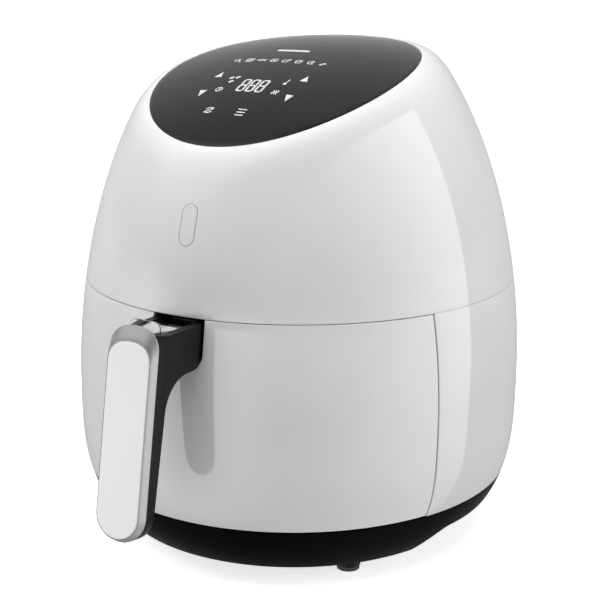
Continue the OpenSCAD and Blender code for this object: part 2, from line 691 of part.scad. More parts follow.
// Bracket on the drawer whose lip the latch bolt sits under
catch_y = -133;
catch_z = 162;
catch_lip = 3.2;
catch_w = 16;
catch_t = 1.5;
module pan_catch() color(steel) on_body() translate([-catch_w/2, catch_y, 0]) {
  translate([0, 0, catch_z - 8]) cube([catch_w, catch_t, top_plate_z - catch_z + 7.9]);
  translate([0, 0, top_plate_z - catch_t - 0.1]) cube([catch_w, 12, catch_t]);
  translate([0, -catch_lip, catch_z]) cube([catch_w, catch_lip + 0.2, 1.4]);
}

// ---- Basket and handle -------------------------------------------------------------------

basket_z = 58;
hole_r = 2.6;
hole_pitch = 14.5;
hole_rings = 6;
side_slots = 24;
side_slot_h = 42;
rim_z = pan_top + sheet_t + 0.4;
module basket() color(dark_coat) translate([0, body_y + axis_y, 0]) difference() {
  rotate_extrude($fn = fine) polygon([
    [0, basket_z], [basket_r - 6, basket_z], [basket_r - 5, basket_z + 1.5],
    [basket_r, rim_z], [basket_r + 7.4, rim_z], [basket_r + 7.4, rim_z + sheet_t],
    [basket_r - sheet_t, rim_z + sheet_t], [basket_r - 5 - sheet_t, basket_z + 1.7],
    [basket_r - 6.4, basket_z + sheet_t], [0, basket_z + sheet_t]]);
  for (ring = [1:hole_rings], i = [0:6*ring - 1]) rotate(60*i/ring)
    translate([ring*hole_pitch, 0, basket_z - 1]) cylinder(r = hole_r, h = 4, $fn = 24);
  for (i = [0:side_slots - 1]) rotate(360*(i + 0.5)/side_slots)
    translate([basket_r - 12, -2, basket_z + 12]) cube([20, 4, side_slot_h]);
}

// Height of the arm's top, and its inner end behind the drawer front
arm_top = 172.3;
arm_in = -147;
bracket_y = arm_in + 0.1;
bracket_t = 1.4;
bracket_w = 18;
bracket_l = 39;
screw_x = 5.5;
screw_z = 165.5;
module across_bracket(y, r, h) for (x = [-screw_x, screw_x]) translate([x, y, screw_z])
  rotate([90, 0, 0]) cylinder(r = r, h = h, $fn = 32);

module basket_bracket() color(steel) on_body() difference() {
  union() {
    translate([-bracket_w/2, bracket_y, 161]) cube([bracket_w, bracket_t, rim_z + sheet_t - 160]);
    translate([-bracket_w/2, bracket_y, rim_z + sheet_t]) cube([bracket_w, bracket_l, 1]);
  }
  across_bracket(bracket_y + 3, 1.55, 6);
}

module bracket_screws() color(steel) on_body() {
  across_bracket(bracket_y + bracket_t, 1.5, 4.3);
  across_bracket(bracket_y + bracket_t + 1.2, 2.6, 1.2);
}

// Grip frame: X across, Y up the grip, Z out of its face
grip_y = -211.5;
grip_z = 113;
grip_top = 67.3;
grip_foot = -59.8;
bezel_t = 5;
module on_grip() translate([0, grip_y, grip_z]) rotate([90 - grip_lean, 0, 0]) children();

// Straight bar with round ends, from y0 to y1
module bar(w, y0, y1) {
  translate([-w/2, y0 + w/2]) square([w, y1 - y0 - w]);
  for (y = [y0 + w/2, y1 - w/2]) translate([0, y]) circle(r = w/2, $fn = fine);
}

function face_at(z) = grip_y + (z - grip_z)*tan(grip_lean) + (bezel_t + 0.02)/cos(grip_lean);
rear_lean = 11.9;
web_r = 23;
web_y = -170.4;
web_z = 122.5;
heel_y = -162;
heel_r = 8.6;
heel_z = web_z + web_r + heel_r;
// Straight length of the grip's back below the web, and the arm's foot before it is rounded
back_l = 76;
foot_z = 49;
top_y = -186;
side_profile = concat(
  [[arm_in, arm_top], [arm_in, heel_z], [heel_y + heel_r, heel_z]],
  arc_points(heel_y, heel_z, heel_r, 0, -90, 8),
  arc_points(web_y, web_z, web_r, 90, 180 - rear_lean, 12),
  [[web_y - web_r*cos(rear_lean) - back_l*sin(rear_lean),
    web_z + web_r*sin(rear_lean) - back_l*cos(rear_lean)]],
  [[face_at(foot_z), foot_z], [face_at(arm_top + 2), arm_top + 2], [top_y, arm_top]]);

// Pocket for button, spring and latch, and the slot that the cover slides in
pocket_x = 10;
pocket_y0 = -189;
pocket_z = 152;
slot_x = 11.4;
slot_z = 170.6;

module arm_outline() difference() {
  intersection() {
    rotate([90, 0, 90]) translate([0, 0, -grip_w/2]) linear_extrude(grip_w) polygon(side_profile);
    on_grip() translate([0, 0, -120]) linear_extrude(130) {
      translate([0, grip_foot + grip_w/2]) circle(r = grip_w/2, $fn = fine);
      translate([-grip_w/2, grip_foot + grip_w/2]) square([grip_w, 200]);
    }
  }
  for (s = [-1, 1]) scale([s, 1, 1]) on_grip() translate([0, 0, -corner_depth])
    linear_extrude(2*corner_depth) corner_cut();
}

// The top corners of the arm's front are cut to the round outline of the bezel
corner_depth = 8;
module corner_cut() translate([0, grip_top - grip_w/2]) polygon(concat(
  [[grip_w, grip_w], [grip_w, -2], [grip_w/2 + 1, -2]],
  [for (a = [9:10:59]) grip_w/2*[cos(a), sin(a)]]));

module handle_arm() color(black) on_body() difference() {
  arm_outline();
  translate([-pocket_x, pocket_y0, pocket_z])
    cube([2*pocket_x, arm_in - pocket_y0 - 3, 40]);
  translate([-slot_x, pocket_y0 - 1, slot_z]) cube([2*slot_x, 60, 20]);
  translate([-bolt_half - 0.4, arm_in - 4, bolt_z - 0.4])
    cube([2*bolt_half + 0.8, 6, bolt_t + 0.8]);
  across_bracket(arm_in + 1, 1.5, 6);
}

module handle_bezel() color(silver) on_body() on_grip() difference() {
  union() {
    translate([0, 0, -bezel_t + 0.02]) linear_extrude(1.6) bar(grip_w, grip_foot, grip_top);
    translate([0, 0, -bezel_t + 1.6]) linear_extrude(1.8)
      bar(grip_w - 1.8, grip_foot + 0.9, grip_top - 1.4);
    translate([0, 0, -bezel_t + 3.3]) linear_extrude(1.5)
      bar(grip_w - 4, grip_foot + 2, grip_top - 4);
  }
  translate([0, 0, -1.9]) linear_extrude(4) bar(plate_w + 0.3, plate_low - 0.15, plate_high + 0.15);
}

plate_low = -57.1;
plate_high = 58;
module handle_plate() color([0.96, 0.96, 0.97]) on_body() on_grip() {
  translate([0, 0, -1.8]) linear_extrude(1.6) bar(plate_w, plate_low, plate_high);
  translate([0, 0, -0.3]) linear_extrude(0.5) bar(plate_w - 1, plate_low + 0.5, plate_high - 0.5);
}

// Release: the button's stem drives the latch bolt forwards through a 45 degree ramp
bolt_z = 156.6;
bolt_t = 2.6;
bolt_half = 2.8;
button_y = -174;
button_w = 19;
button_l = 16;
button_top = 170.1;
stem_r = 2.2;
button_t = 3.6;
stem_z = bolt_z + bolt_t + button_travel + 0.2;
module release_button() color([0.8, 0.8, 0.81]) on_body() {
  translate([-button_w/2, button_y - button_l/2, button_top - button_t])
    cube([button_w, button_l, button_t]);
  translate([0, button_y, stem_z]) cylinder(r = stem_r, h = button_top - stem_z - 1, $fn = 48);
}

module coil_turns(r, wire, pitch, turns)
  for (i = [0:turns - 1]) translate([0, 0, i*pitch]) rotate_extrude($fn = 32)
    translate([r, 0]) circle(r = wire, $fn = 16);

spring_x = 5.9;
spring_r = 2;
spring_wire = 0.35;
spring_pitch = 1.9;
spring_turns = 8;
module button_springs() color(steel) on_body() for (x = [-spring_x, spring_x])
  translate([x, button_y, pocket_z + 0.5])
    coil_turns(spring_r, spring_wire, spring_pitch, spring_turns);

bolt_front = button_y - stem_r - 2;
bolt_tip = catch_y - 0.5;
ramp_y = button_y - stem_r;
ramp_z = stem_z - 0.1;
ramp_run = ramp_z - bolt_z - bolt_t;
module latch_bolt() color([0.3, 0.3, 0.31]) on_body() rotate([90, 0, 90])
  translate([0, 0, -bolt_half]) linear_extrude(2*bolt_half) polygon([
    [bolt_front, bolt_z], [bolt_tip, bolt_z], [bolt_tip, bolt_z + bolt_t],
    [ramp_y + ramp_run, bolt_z + bolt_t], [ramp_y, ramp_z], [bolt_front, ramp_z]]);

// Clear cover that guards the button, with a rounded thumb lip at its front
cover_z = 170.85;
cover_t = 1.1;
cover_y0 = -188;
cover_l = 24;
cover_half = 10.8;
lip_h = 8.5;
lip_t = 1.4;
lip_r = 4;
module button_cover() color([0.8, 0.85, 0.9, 0.4]) on_body() {
  translate([-cover_half, cover_y0, cover_z]) cube([2*cover_half, cover_l, cover_t]);
  translate([0, cover_y0 + lip_t + 0.2, cover_z + 0.2]) rotate([90, 0, 0]) linear_extrude(lip_t)
    lip_outline(cover_half - 0.3, lip_h, lip_r);
}
module lip_outline(w, h, r) {
  translate([-w, 0]) square([2*w, h - r]);
  translate([-w + r, 0]) square([2*(w - r), h]);
  for (x = [-w + r, w - r]) translate([x, h - r]) circle(r = r, $fn = 48);
}

upper_shell();
rear_shell();
base_band();
base_plate();
feet();
foot_pads();
base_screws();
panel_glass();
display_board();
display_frame();
pill_insert();
air_grille();
cord_gland();
bay_ceiling();
chamber_wall();
heating_coil();
coil_clips();
heater_guard();
air_deflector();
motor_plate();
motor();
motor_bolts();
power_board();
temperature_sensor();
drawer_switch();
drawer_frame();
motor_shaft();
hot_air_fan();
cooling_fan();
fan_nuts();
drawer_front();
drawer_top_plate();
drawer_bottom_plate();
pan();
pan_catch();
pan_screws();
basket();
basket_bracket();
bracket_screws();
handle_arm();
handle_bezel();
handle_plate();
release_button();
button_springs();
latch_bolt();
button_cover();
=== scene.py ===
import json
import math

import bmesh
import bpy
from mathutils import Matrix, Vector


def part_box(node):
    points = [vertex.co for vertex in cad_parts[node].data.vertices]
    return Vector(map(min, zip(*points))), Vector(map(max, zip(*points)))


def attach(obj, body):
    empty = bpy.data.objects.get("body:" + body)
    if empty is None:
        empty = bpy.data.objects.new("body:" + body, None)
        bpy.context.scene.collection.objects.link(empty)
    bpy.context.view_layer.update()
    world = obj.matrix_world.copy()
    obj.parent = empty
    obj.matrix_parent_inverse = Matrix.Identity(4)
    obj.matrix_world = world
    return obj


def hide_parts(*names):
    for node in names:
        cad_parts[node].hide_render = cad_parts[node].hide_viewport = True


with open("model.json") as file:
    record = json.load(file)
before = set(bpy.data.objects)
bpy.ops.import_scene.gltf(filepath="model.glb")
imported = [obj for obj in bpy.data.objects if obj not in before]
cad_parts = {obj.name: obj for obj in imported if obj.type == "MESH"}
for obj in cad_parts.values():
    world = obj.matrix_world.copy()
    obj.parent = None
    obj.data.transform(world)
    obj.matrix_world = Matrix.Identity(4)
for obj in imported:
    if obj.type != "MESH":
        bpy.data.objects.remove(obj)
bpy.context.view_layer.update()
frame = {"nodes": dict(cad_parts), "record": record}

MM = 0.001
DEG_PER_RAD = 57.3

# ---- Sizes of the body, in millimetres, from the body's own centre line --------------------

plate_lo, plate_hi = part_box("base_plate")
BODY_Y = (plate_lo.y + plate_hi.y)/2/MM     # the body's centre line, behind the origin
BODY_W = 300.0
BODY_D = 317.4
WAIST_Z = 103.0
CROWN_REACH_W = 269.5
CROWN_REACH_D = 276.0
FOOT_REACH = 130.0
FOOT_POWER = 3.5
WALL = 3.0
SEAM_Z = 174.0
BAND_Z = 42.0
SPLIT_Y = 69.0
DRAWER_GAP = 0.9
PANEL_RX = 85.5
PANEL_RY = 97.5
PANEL_FWD = 23.3
CROWN_R = 400.0
CROSS_R = 880.0
CROWN_TILT = math.radians(16.3)
ARC_Y = -26.9 + CROWN_R*math.sin(CROWN_TILT)
ARC_Z = 313.4 - CROWN_R*math.cos(CROWN_TILT)
GLASS_T = 3.0
GLASS_GAP = 0.3
GLASS_DOME = 4.0
LEDGE_W = 6.0
LEDGE_T = 2.4
SHOULDER = 13.0
SHOULDER_SHARE = 0.85


def to_frame(p):
    """A point in millimetres from the body's centre line, as a place in the frame."""
    return Vector((p[0]*MM, (p[1] + BODY_Y)*MM, p[2]*MM))


# ---- Shape of the body --------------------------------------------------------------------

def flank_scale(z, reach):
    """Width of the body at a height, as a share of its width at the waist."""
    if z > WAIST_Z:
        return math.sqrt(1 - ((z - WAIST_Z)/reach)**2)
    return math.sqrt(1 - ((WAIST_Z - z)/FOOT_REACH)**FOOT_POWER)


def half_w(z):
    return BODY_W/2*flank_scale(z, CROWN_REACH_W)


def half_d(z):
    return BODY_D/2*flank_scale(z, CROWN_REACH_D)


def flank_point(a, z, inset):
    """Point of the flank at plan angle a (0 in front, degrees), moved inwards."""
    t = math.radians(a)
    return ((half_w(z) - inset)*math.sin(t), -(half_d(z) - inset)*math.cos(t), z)


def crown_height(x, y):
    return ARC_Z + math.sqrt(CROWN_R**2 - (y - ARC_Y)**2) - x*x/(2*CROSS_R)


def glass_height(x, y):
    """The glass rises a little above the crown in its middle."""
    share = (x/PANEL_RX)**2 + ((y + PANEL_FWD)/PANEL_RY)**2
    return crown_height(x, y) + GLASS_DOME*max(0.0, 1 - share)


def flank_rho(a, z, inset):
    """Distance from the panel's centre to the flank in the direction a."""
    t = math.radians(a)
    p, q = half_w(z) - inset, half_d(z) - inset
    k2 = (math.sin(t)/p)**2 + (math.cos(t)/q)**2
    k1 = -PANEL_FWD*math.cos(t)/(q*q)
    k0 = (PANEL_FWD/q)**2 - 1
    return (k1 + math.sqrt(k1*k1 - k2*k0))/k2


def panel_rho(a):
    t = math.radians(a)
    return 1/math.sqrt((math.sin(t)/PANEL_RX)**2 + (math.cos(t)/PANEL_RY)**2)


def polar(a, rho, z):
    t = math.radians(a)
    return (rho*math.sin(t), -PANEL_FWD - rho*math.cos(t), z)


def on_crown(a, rho, drop):
    """Point at a direction and distance from the panel's centre, below the crown."""
    x, y, _ = polar(a, rho, 0)
    return (x, y, crown_height(x, y) - drop)


def corner_z(a, inset, drop):
    """Height at which the flank meets the crown, by repeated substitution."""
    z = 300.0
    for _ in range(12):
        z = on_crown(a, flank_rho(a, z, inset), drop)[2]
    return z


def flank_polar(a, z, inset):
    return polar(a, flank_rho(a, z, inset), z)


def bend(p, q, r, t):
    """Quadratic curve from p to r that is pulled towards q."""
    return tuple((1 - t)**2*p[i] + 2*t*(1 - t)*q[i] + t*t*r[i] for i in range(3))


# ---- Mesh helpers -------------------------------------------------------------------------

def piece(name, verts, faces, body, material, sharp=35.0, replaces=()):
    """A mesh piece that rides on a body and takes the finish it is given."""
    mesh = bpy.data.meshes.new(name)
    mesh.from_pydata([to_frame(v) for v in verts], [], faces)
    return adopt(name, mesh, body, material, sharp, replaces)


def adopt(name, mesh, body, material, sharp=35.0, replaces=()):
    """Makes a finished mesh a piece: outward normals, smooth shading, its body and slot."""
    bm = bmesh.new()
    bm.from_mesh(mesh)
    bmesh.ops.recalc_face_normals(bm, faces=bm.faces)
    bm.to_mesh(mesh)
    bm.free()
    for polygon in mesh.polygons:
        polygon.use_smooth = True
    mesh.set_sharp_from_angle(angle=math.radians(sharp))
    mesh.materials.clear()
    mesh.materials.append(material)
    obj = bpy.data.objects.new(name, mesh)
    bpy.context.scene.collection.objects.link(obj)
    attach(obj, body)
    if replaces:
        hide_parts(*replaces)
    return obj


def lofted(sections, ring, hole=None):
    """Vertices and faces of a solid lofted through closed sections of equal length. Each
    section runs along the outside and back along the inside, so that point i lies opposite
    point m - 1 - i. hole = (first row, last row, first column, last column) is a window."""
    m = len(sections[0])
    n = len(sections)
    verts = [p for s in sections for p in s]
    faces = []
    for j in range(n if ring else n - 1):
        k = (j + 1) % n
        for i in range(m):
            if hole and hole[2] <= j < hole[3]:
                if hole[0] <= i < hole[1] or m - 1 - hole[1] <= i < m - 1 - hole[0]:
                    continue
            i2 = (i + 1) % m
            faces.append((j*m + i, j*m + i2, k*m + i2, k*m + i))
    if not ring:
        for j in (0, n - 1):
            for i in range(m//2 - 1):
                faces.append((j*m + i, j*m + i + 1, j*m + m - 2 - i, j*m + m - 1 - i))
    if hole:
        i0, i1, j0, j1 = hole
        for j in range(j0, j1):
            for i in (i0, i1):
                faces.append((j*m + i, (j + 1)*m + i, (j + 1)*m + m - 1 - i, j*m + m - 1 - i))
        for i in range(i0, i1):
            for j in (j0, j1):
                faces.append((j*m + i, j*m + i + 1, j*m + m - 2 - i, j*m + m - 1 - i))
    return verts, faces


def band_faces(rows, n):
    """Faces between neighbouring closed outlines of n points each."""
    return [(k*n + i, k*n + (i + 1) % n, (k + 1)*n + (i + 1) % n, (k + 1)*n + i)
            for k in range(rows - 1) for i in range(n)]


def capped_faces(rows, n):
    """The same, with both ends closed."""
    return band_faces(rows, n) + [tuple(range(n)), tuple((rows - 1)*n + i for i in range(n))]


def rounding(radius, steps, near, direction):
    """Heights and insets of a quarter round at the end of a wall, from its end inwards."""
    rows = []
    for i in range(steps + 1):
        t = math.pi/2*i/steps
        rows.append((near + direction*radius*(1 - math.cos(t)), radius*(1 - math.sin(t))))
    return rows


def wall_rows(z0, z1, low_round, high_round, count):
    """Height and inset of every row of an outer wall with two rounded ends."""
    low = rounding(low_round, 4, z0, 1)
    high = rounding(high_round, 4, z1, -1)
    a, b = z0 + low_round, z1 - high_round
    middle = [(a + (b - a)*i/count, 0.0) for i in range(1, count)]
    return low + middle + high[::-1]


# ---- Materials ----------------------------------------------------------------------------

SOCKETS = {
    "coat_ior": "Coat IOR",
    "coat_roughness": "Coat Roughness",
    "coat_weight": "Coat Weight",
    "emission_strength": "Emission Strength",
    "ior": "IOR",
    "specular": "Specular IOR Level",
    "transmission": "Transmission Weight",
}


class Nodes:
    """Short-hand for building one node tree round a Principled shader."""

    def __init__(self, name, **settings):
        self.material = bpy.data.materials.new(name)
        self.material.use_nodes = True
        self.tree = self.material.node_tree
        self.shader = next(n for n in self.tree.nodes if n.type == "BSDF_PRINCIPLED")
        for key, value in settings.items():
            self.shader.inputs[SOCKETS.get(key, key.capitalize())].default_value = value
        self.coords = self.add("ShaderNodeTexCoord").outputs["Object"]

    def add(self, kind, **values):
        node = self.tree.nodes.new(kind)
        for key, value in values.items():
            setattr(node, key, value)
        return node

    def link(self, a, b):
        self.tree.links.new(a, b)

    def stretched(self, scale):
        mapping = self.add("ShaderNodeMapping")
        mapping.inputs["Scale"].default_value = scale
        self.link(self.coords, mapping.inputs["Vector"])
        return mapping.outputs["Vector"]

    def noise(self, scale, detail=4.0, stretch=None):
        node = self.add("ShaderNodeTexNoise")
        node.inputs["Scale"].default_value = scale
        node.inputs["Detail"].default_value = detail
        self.link(self.stretched(stretch) if stretch else self.coords, node.inputs["Vector"])
        return node.outputs["Fac"]

    def ramp(self, source, low, high, dark, light):
        node = self.add("ShaderNodeValToRGB")
        node.color_ramp.elements[0].position = low
        node.color_ramp.elements[1].position = high
        node.color_ramp.elements[0].color = (*dark, 1)
        node.color_ramp.elements[1].color = (*light, 1)
        self.link(source, node.inputs["Fac"])
        return node.outputs["Color"]

    def span(self, source, low, high):
        node = self.add("ShaderNodeMapRange")
        node.inputs["To Min"].default_value = low
        node.inputs["To Max"].default_value = high
        self.link(source, node.inputs["Value"])
        return node.outputs["Result"]

    def bump(self, source, strength, distance, onto=None):
        node = self.add("ShaderNodeBump")
        node.inputs["Strength"].default_value = strength
        node.inputs["Distance"].default_value = distance
        self.link(source, node.inputs["Height"])
        if onto:
            self.link(onto, node.inputs["Normal"])
        self.link(node.outputs["Normal"], self.shader.inputs["Normal"])
        return node.outputs["Normal"]


def shade(color, factor):
    return tuple(min(1.0, c*factor) for c in color)


def moulded(name, color, rough, spread=0.05, tint=0.03, grain=900.0, depth=0.00002,
            strength=0.25, **settings):
    """Moulded plastic or paint: faint mottling, uneven gloss and a fine surface texture."""
    n = Nodes(name, **settings)
    broad = n.noise(14.0)
    n.link(n.ramp(broad, 0.3, 0.7, shade(color, 1 - tint), shade(color, 1 + tint)),
           n.shader.inputs["Base Color"])
    n.link(n.span(n.noise(55.0), rough - spread, rough + spread), n.shader.inputs["Roughness"])
    n.bump(n.noise(grain, 3.0), strength, depth)
    return n.material


def brushed(name, color, rough, stretch=(6.0, 300.0, 300.0), tint=0.12, **settings):
    """Sheet metal with fine lines along X and a little staining."""
    n = Nodes(name, metallic=1.0, **settings)
    lines = n.noise(3.0, 6.0, stretch)
    n.link(n.ramp(lines, 0.3, 0.7, shade(color, 1 - tint), shade(color, 1 + tint)),
           n.shader.inputs["Base Color"])
    n.link(n.span(n.noise(18.0), rough - 0.08, rough + 0.1), n.shader.inputs["Roughness"])
    n.bump(lines, 0.2, 0.00003)
    return n.material


def speckled(name, color, speck, rough):
    """Non-stick coating: dark, with fine lighter specks and a pebbled feel."""
    n = Nodes(name, coat_weight=0.25, coat_roughness=0.3)
    cells = n.add("ShaderNodeTexVoronoi")
    cells.inputs["Scale"].default_value = 900.0
    n.link(n.coords, cells.inputs["Vector"])
    n.link(n.ramp(cells.outputs["Distance"], 0.05, 0.14, speck, color),
           n.shader.inputs["Base Color"])
    n.link(n.span(n.noise(40.0), rough - 0.06, rough + 0.08), n.shader.inputs["Roughness"])
    n.bump(n.noise(1100.0, 2.0), 0.3, 0.00003)
    return n.material


def circuit(name, color, copper):
    """Solder mask with a grid of tracks showing through it."""
    n = Nodes(name, coat_weight=0.4, coat_roughness=0.2)
    bricks = n.add("ShaderNodeTexBrick")
    bricks.inputs["Scale"].default_value = 180.0
    bricks.inputs["Mortar Size"].default_value = 0.06
    bricks.inputs["Color1"].default_value = (*color, 1)
    bricks.inputs["Color2"].default_value = (*shade(color, 0.8), 1)
    bricks.inputs["Mortar"].default_value = (*copper, 1)
    n.link(n.coords, bricks.inputs["Vector"])
    n.link(bricks.outputs["Color"], n.shader.inputs["Base Color"])
    n.link(n.span(n.noise(60.0), 0.3, 0.45), n.shader.inputs["Roughness"])
    n.bump(bricks.outputs["Fac"], 0.15, 0.00005)
    return n.material


def clear(name, rough):
    """Clear polycarbonate with a faint haze."""
    n = Nodes(name, transmission=1.0, ior=1.2)
    n.link(n.ramp(n.noise(30.0), 0.3, 0.7, (0.96, 0.965, 0.965), (0.99, 0.99, 0.99)),
           n.shader.inputs["Base Color"])
    n.link(n.span(n.noise(80.0), rough, rough + 0.03), n.shader.inputs["Roughness"])
    n.bump(n.noise(200.0), 0.05, 0.00001)
    return n.material


WHITE = (0.63, 0.63, 0.635)
MATERIALS = {
    "white_shell": moulded("white_shell", WHITE, 0.45, specular=0.2, coat_weight=1.0,
                           coat_roughness=0.05, coat_ior=1.7),
    "white_insert": moulded("white_insert", (0.62, 0.62, 0.625), 0.45, specular=0.2,
                            coat_weight=1.0, coat_roughness=0.06, coat_ior=1.7),
    "black_plastic": moulded("black_plastic", (0.003, 0.003, 0.0032), 0.36, tint=0.2,
                             strength=0.35, specular=0.15),
    "grey_plastic": moulded("grey_plastic", (0.06, 0.06, 0.065), 0.5, tint=0.12, strength=0.5),
    "foot_rubber": moulded("foot_rubber", (0.035, 0.035, 0.036), 0.7, tint=0.2, strength=0.6),
    "panel_glass": moulded("panel_glass", (0.004, 0.004, 0.0045), 0.1, spread=0.03, tint=0.1,
                           strength=0.02),
    "circuit_board": circuit("circuit_board", (0.02, 0.12, 0.05), (0.10, 0.28, 0.12)),
    "sheet_steel": brushed("sheet_steel", (0.52, 0.52, 0.53), 0.32),
    "motor_steel": brushed("motor_steel", (0.35, 0.35, 0.37), 0.4, (300.0, 300.0, 900.0)),
    "element_sheath": moulded("element_sheath", (0.08, 0.078, 0.075), 0.45, tint=0.35,
                              metallic=0.8),
    "screw_steel": brushed("screw_steel", (0.6, 0.6, 0.61), 0.25, (200.0, 200.0, 200.0)),
    "fan_aluminium": brushed("fan_aluminium", (0.68, 0.68, 0.69), 0.3),
    "nonstick_coat": speckled("nonstick_coat", (0.022, 0.022, 0.024), (0.10, 0.10, 0.105), 0.42),
    "satin_silver": moulded("satin_silver", (0.38, 0.38, 0.39), 0.24, tint=0.04, grain=2500.0,
                            metallic=0.55),
    "white_plate": moulded("white_plate", (0.77, 0.765, 0.77), 0.30, tint=0.01, coat_weight=0.6,
                            coat_roughness=0.12),
    "button_grey": moulded("button_grey", (0.5, 0.5, 0.51), 0.4),
    "clear_cover": clear("clear_cover", 0.02),
    # Grey of the flush ring round the pill insert: painted shade of the gap there
    "gap_shade_grey": moulded("gap_shade_grey", (0.22, 0.22, 0.225), 0.6),
    "band_black": moulded("band_black", (0.002, 0.002, 0.0022), 0.4, tint=0.2, strength=0.35,
                          specular=0.02),
    "legend_print": moulded("legend_print", (0.55, 0.56, 0.58), 0.4, tint=0.02),
}
SLOT_OF = {s["node"]: s["material_slot"] for s in frame["record"]["subparts"]}

for node_name, node_object in frame["nodes"].items():
    node_object.data.materials.clear()
    node_object.data.materials.append(MATERIALS[SLOT_OF[node_name]])


# ---- Shells -------------------------------------------------------------------------------

COLUMNS = 216
FLANK_ROWS = 32
CORNER_ROWS = 14
SHELL_ROUND, ROUND_STEPS = 0.25, 4
SHELL_GAP = 0.22        # from the seam's middle to the shell above it and to the drawer below
UNDER_ROWS = 7
VENT_ROWS, VENT_COLUMNS = (8, 16), (99, 117)


def upper_section(a, z0):
    """Section of the upper shell in the direction a: flank, shoulder, crown, ledge, inside."""
    zc = corner_z(a, 0, 0)
    rc, rp = flank_rho(a, zc, 0), panel_rho(a)
    low, re = zc - SHOULDER, rc - (rc - rp)*SHOULDER_SHARE
    outer = [flank_polar(a, z, inset) for z, inset in rounding(SHELL_ROUND, ROUND_STEPS, z0, 1)]
    first = z0 + SHELL_ROUND
    outer += [flank_polar(a, first + (low - first)*i/FLANK_ROWS, 0)
              for i in range(1, FLANK_ROWS + 1)]
    outer += [bend(flank_polar(a, low, 0), polar(a, rc, zc), on_crown(a, re, 0), i/CORNER_ROWS)
              for i in range(1, CORNER_ROWS + 1)]
    outer += [on_crown(a, rp + 0.4, 0), on_crown(a, rp + 0.12, 0.1), on_crown(a, rp, 0.4)]
    outer += [on_crown(a, rp, GLASS_T + GLASS_GAP)]
    outer += [on_crown(a, rp - LEDGE_W, GLASS_T + GLASS_GAP)]
    drop = GLASS_T + GLASS_GAP + LEDGE_T
    zi = corner_z(a, WALL, drop)
    ri, rl = flank_rho(a, zi, WALL), rp - LEDGE_W
    straight = outer[:ROUND_STEPS + 1 + FLANK_ROWS]
    above = len(outer) - UNDER_ROWS - len(straight)
    inner = [flank_polar(a, z, WALL) for _, _, z in straight]
    inner += [flank_polar(a, low + (zi - low)*i/above, WALL) for i in range(1, above + 1)]
    inner += [on_crown(a, ri + (rl - ri)*i/UNDER_ROWS, drop) for i in range(1, UNDER_ROWS + 1)]
    return outer + inner[::-1]


def upper_shell():
    z0 = SEAM_Z + SHELL_GAP
    sections = [upper_section(360*j/COLUMNS, z0) for j in range(COLUMNS)]
    verts, faces = lofted(sections, True, (*VENT_ROWS, *VENT_COLUMNS))
    return piece("upper_shell_skin", verts, faces, "housing",
                 MATERIALS["white_shell"], replaces=["upper_shell"])


def cut_angle(z, inset, cut):
    """Plan angle at which the flank crosses a plane in front of the body's centre."""
    return math.degrees(math.acos(cut/(half_d(z) - inset)))


CORD_ROWS, CORD_COLUMNS = (7, 10), 2      # window behind the cord gland
EDGE_STEPS = [(0, 0.5), (0.1, 0.15), (0.4, 0.02)]    # along the wall, and inwards from it
EDGE_LAND = 0.9
WALL_ROWS = 24


def rear_shell():
    z0, z1 = BAND_Z + 0.1, SEAM_Z + 0.12
    rows = wall_rows(z0, z1, 0.2, 0.15, WALL_ROWS)
    count = 120
    split = SPLIT_Y - DRAWER_GAP/2
    sections = []
    for j in range(-3, count + 4):
        t = min(max(j, 0), count)/count
        loop = []
        for z, inset in rows:
            if j < 0:
                along, extra = EDGE_STEPS[j + 3]
            elif j > count:
                along, extra = EDGE_STEPS[count + 3 - j]
            else:
                along, extra = EDGE_LAND, 0.0
            edge = cut_angle(z, inset, split) + along/half_w(z)*DEG_PER_RAD
            loop.append(flank_point(edge + (360 - 2*edge)*t, z, inset + extra))
        back = []
        for z, _ in reversed(rows):
            edge = cut_angle(z, WALL, split)
            back.append(flank_point(edge + (360 - 2*edge)*t, z, WALL))
        sections.append(loop + back)
    middle = count//2 + 3
    verts, faces = lofted(sections, False, (*CORD_ROWS, middle - CORD_COLUMNS,
                                            middle + CORD_COLUMNS))
    return piece("rear_shell_skin", verts, faces, "housing",
                 MATERIALS["white_shell"], replaces=["rear_shell"])


NOTCH_HALF = 18.2
NOTCH_Z = 146.8
NOTCH_R = 5.0
FRONT_Z0 = BAND_Z + DRAWER_GAP
FRONT_Z1 = SEAM_Z - SHELL_GAP
EDGE_ROUND = 0.25


def front_top(x):
    """Top edge of the drawer's front, with the notch that the handle's arm goes through."""
    s = abs(x) - (NOTCH_HALF - NOTCH_R)
    if abs(x) > NOTCH_HALF:
        return FRONT_Z1
    if s <= 0:
        return NOTCH_Z
    return NOTCH_Z + NOTCH_R - math.sqrt(max(0.0, NOTCH_R**2 - s*s))


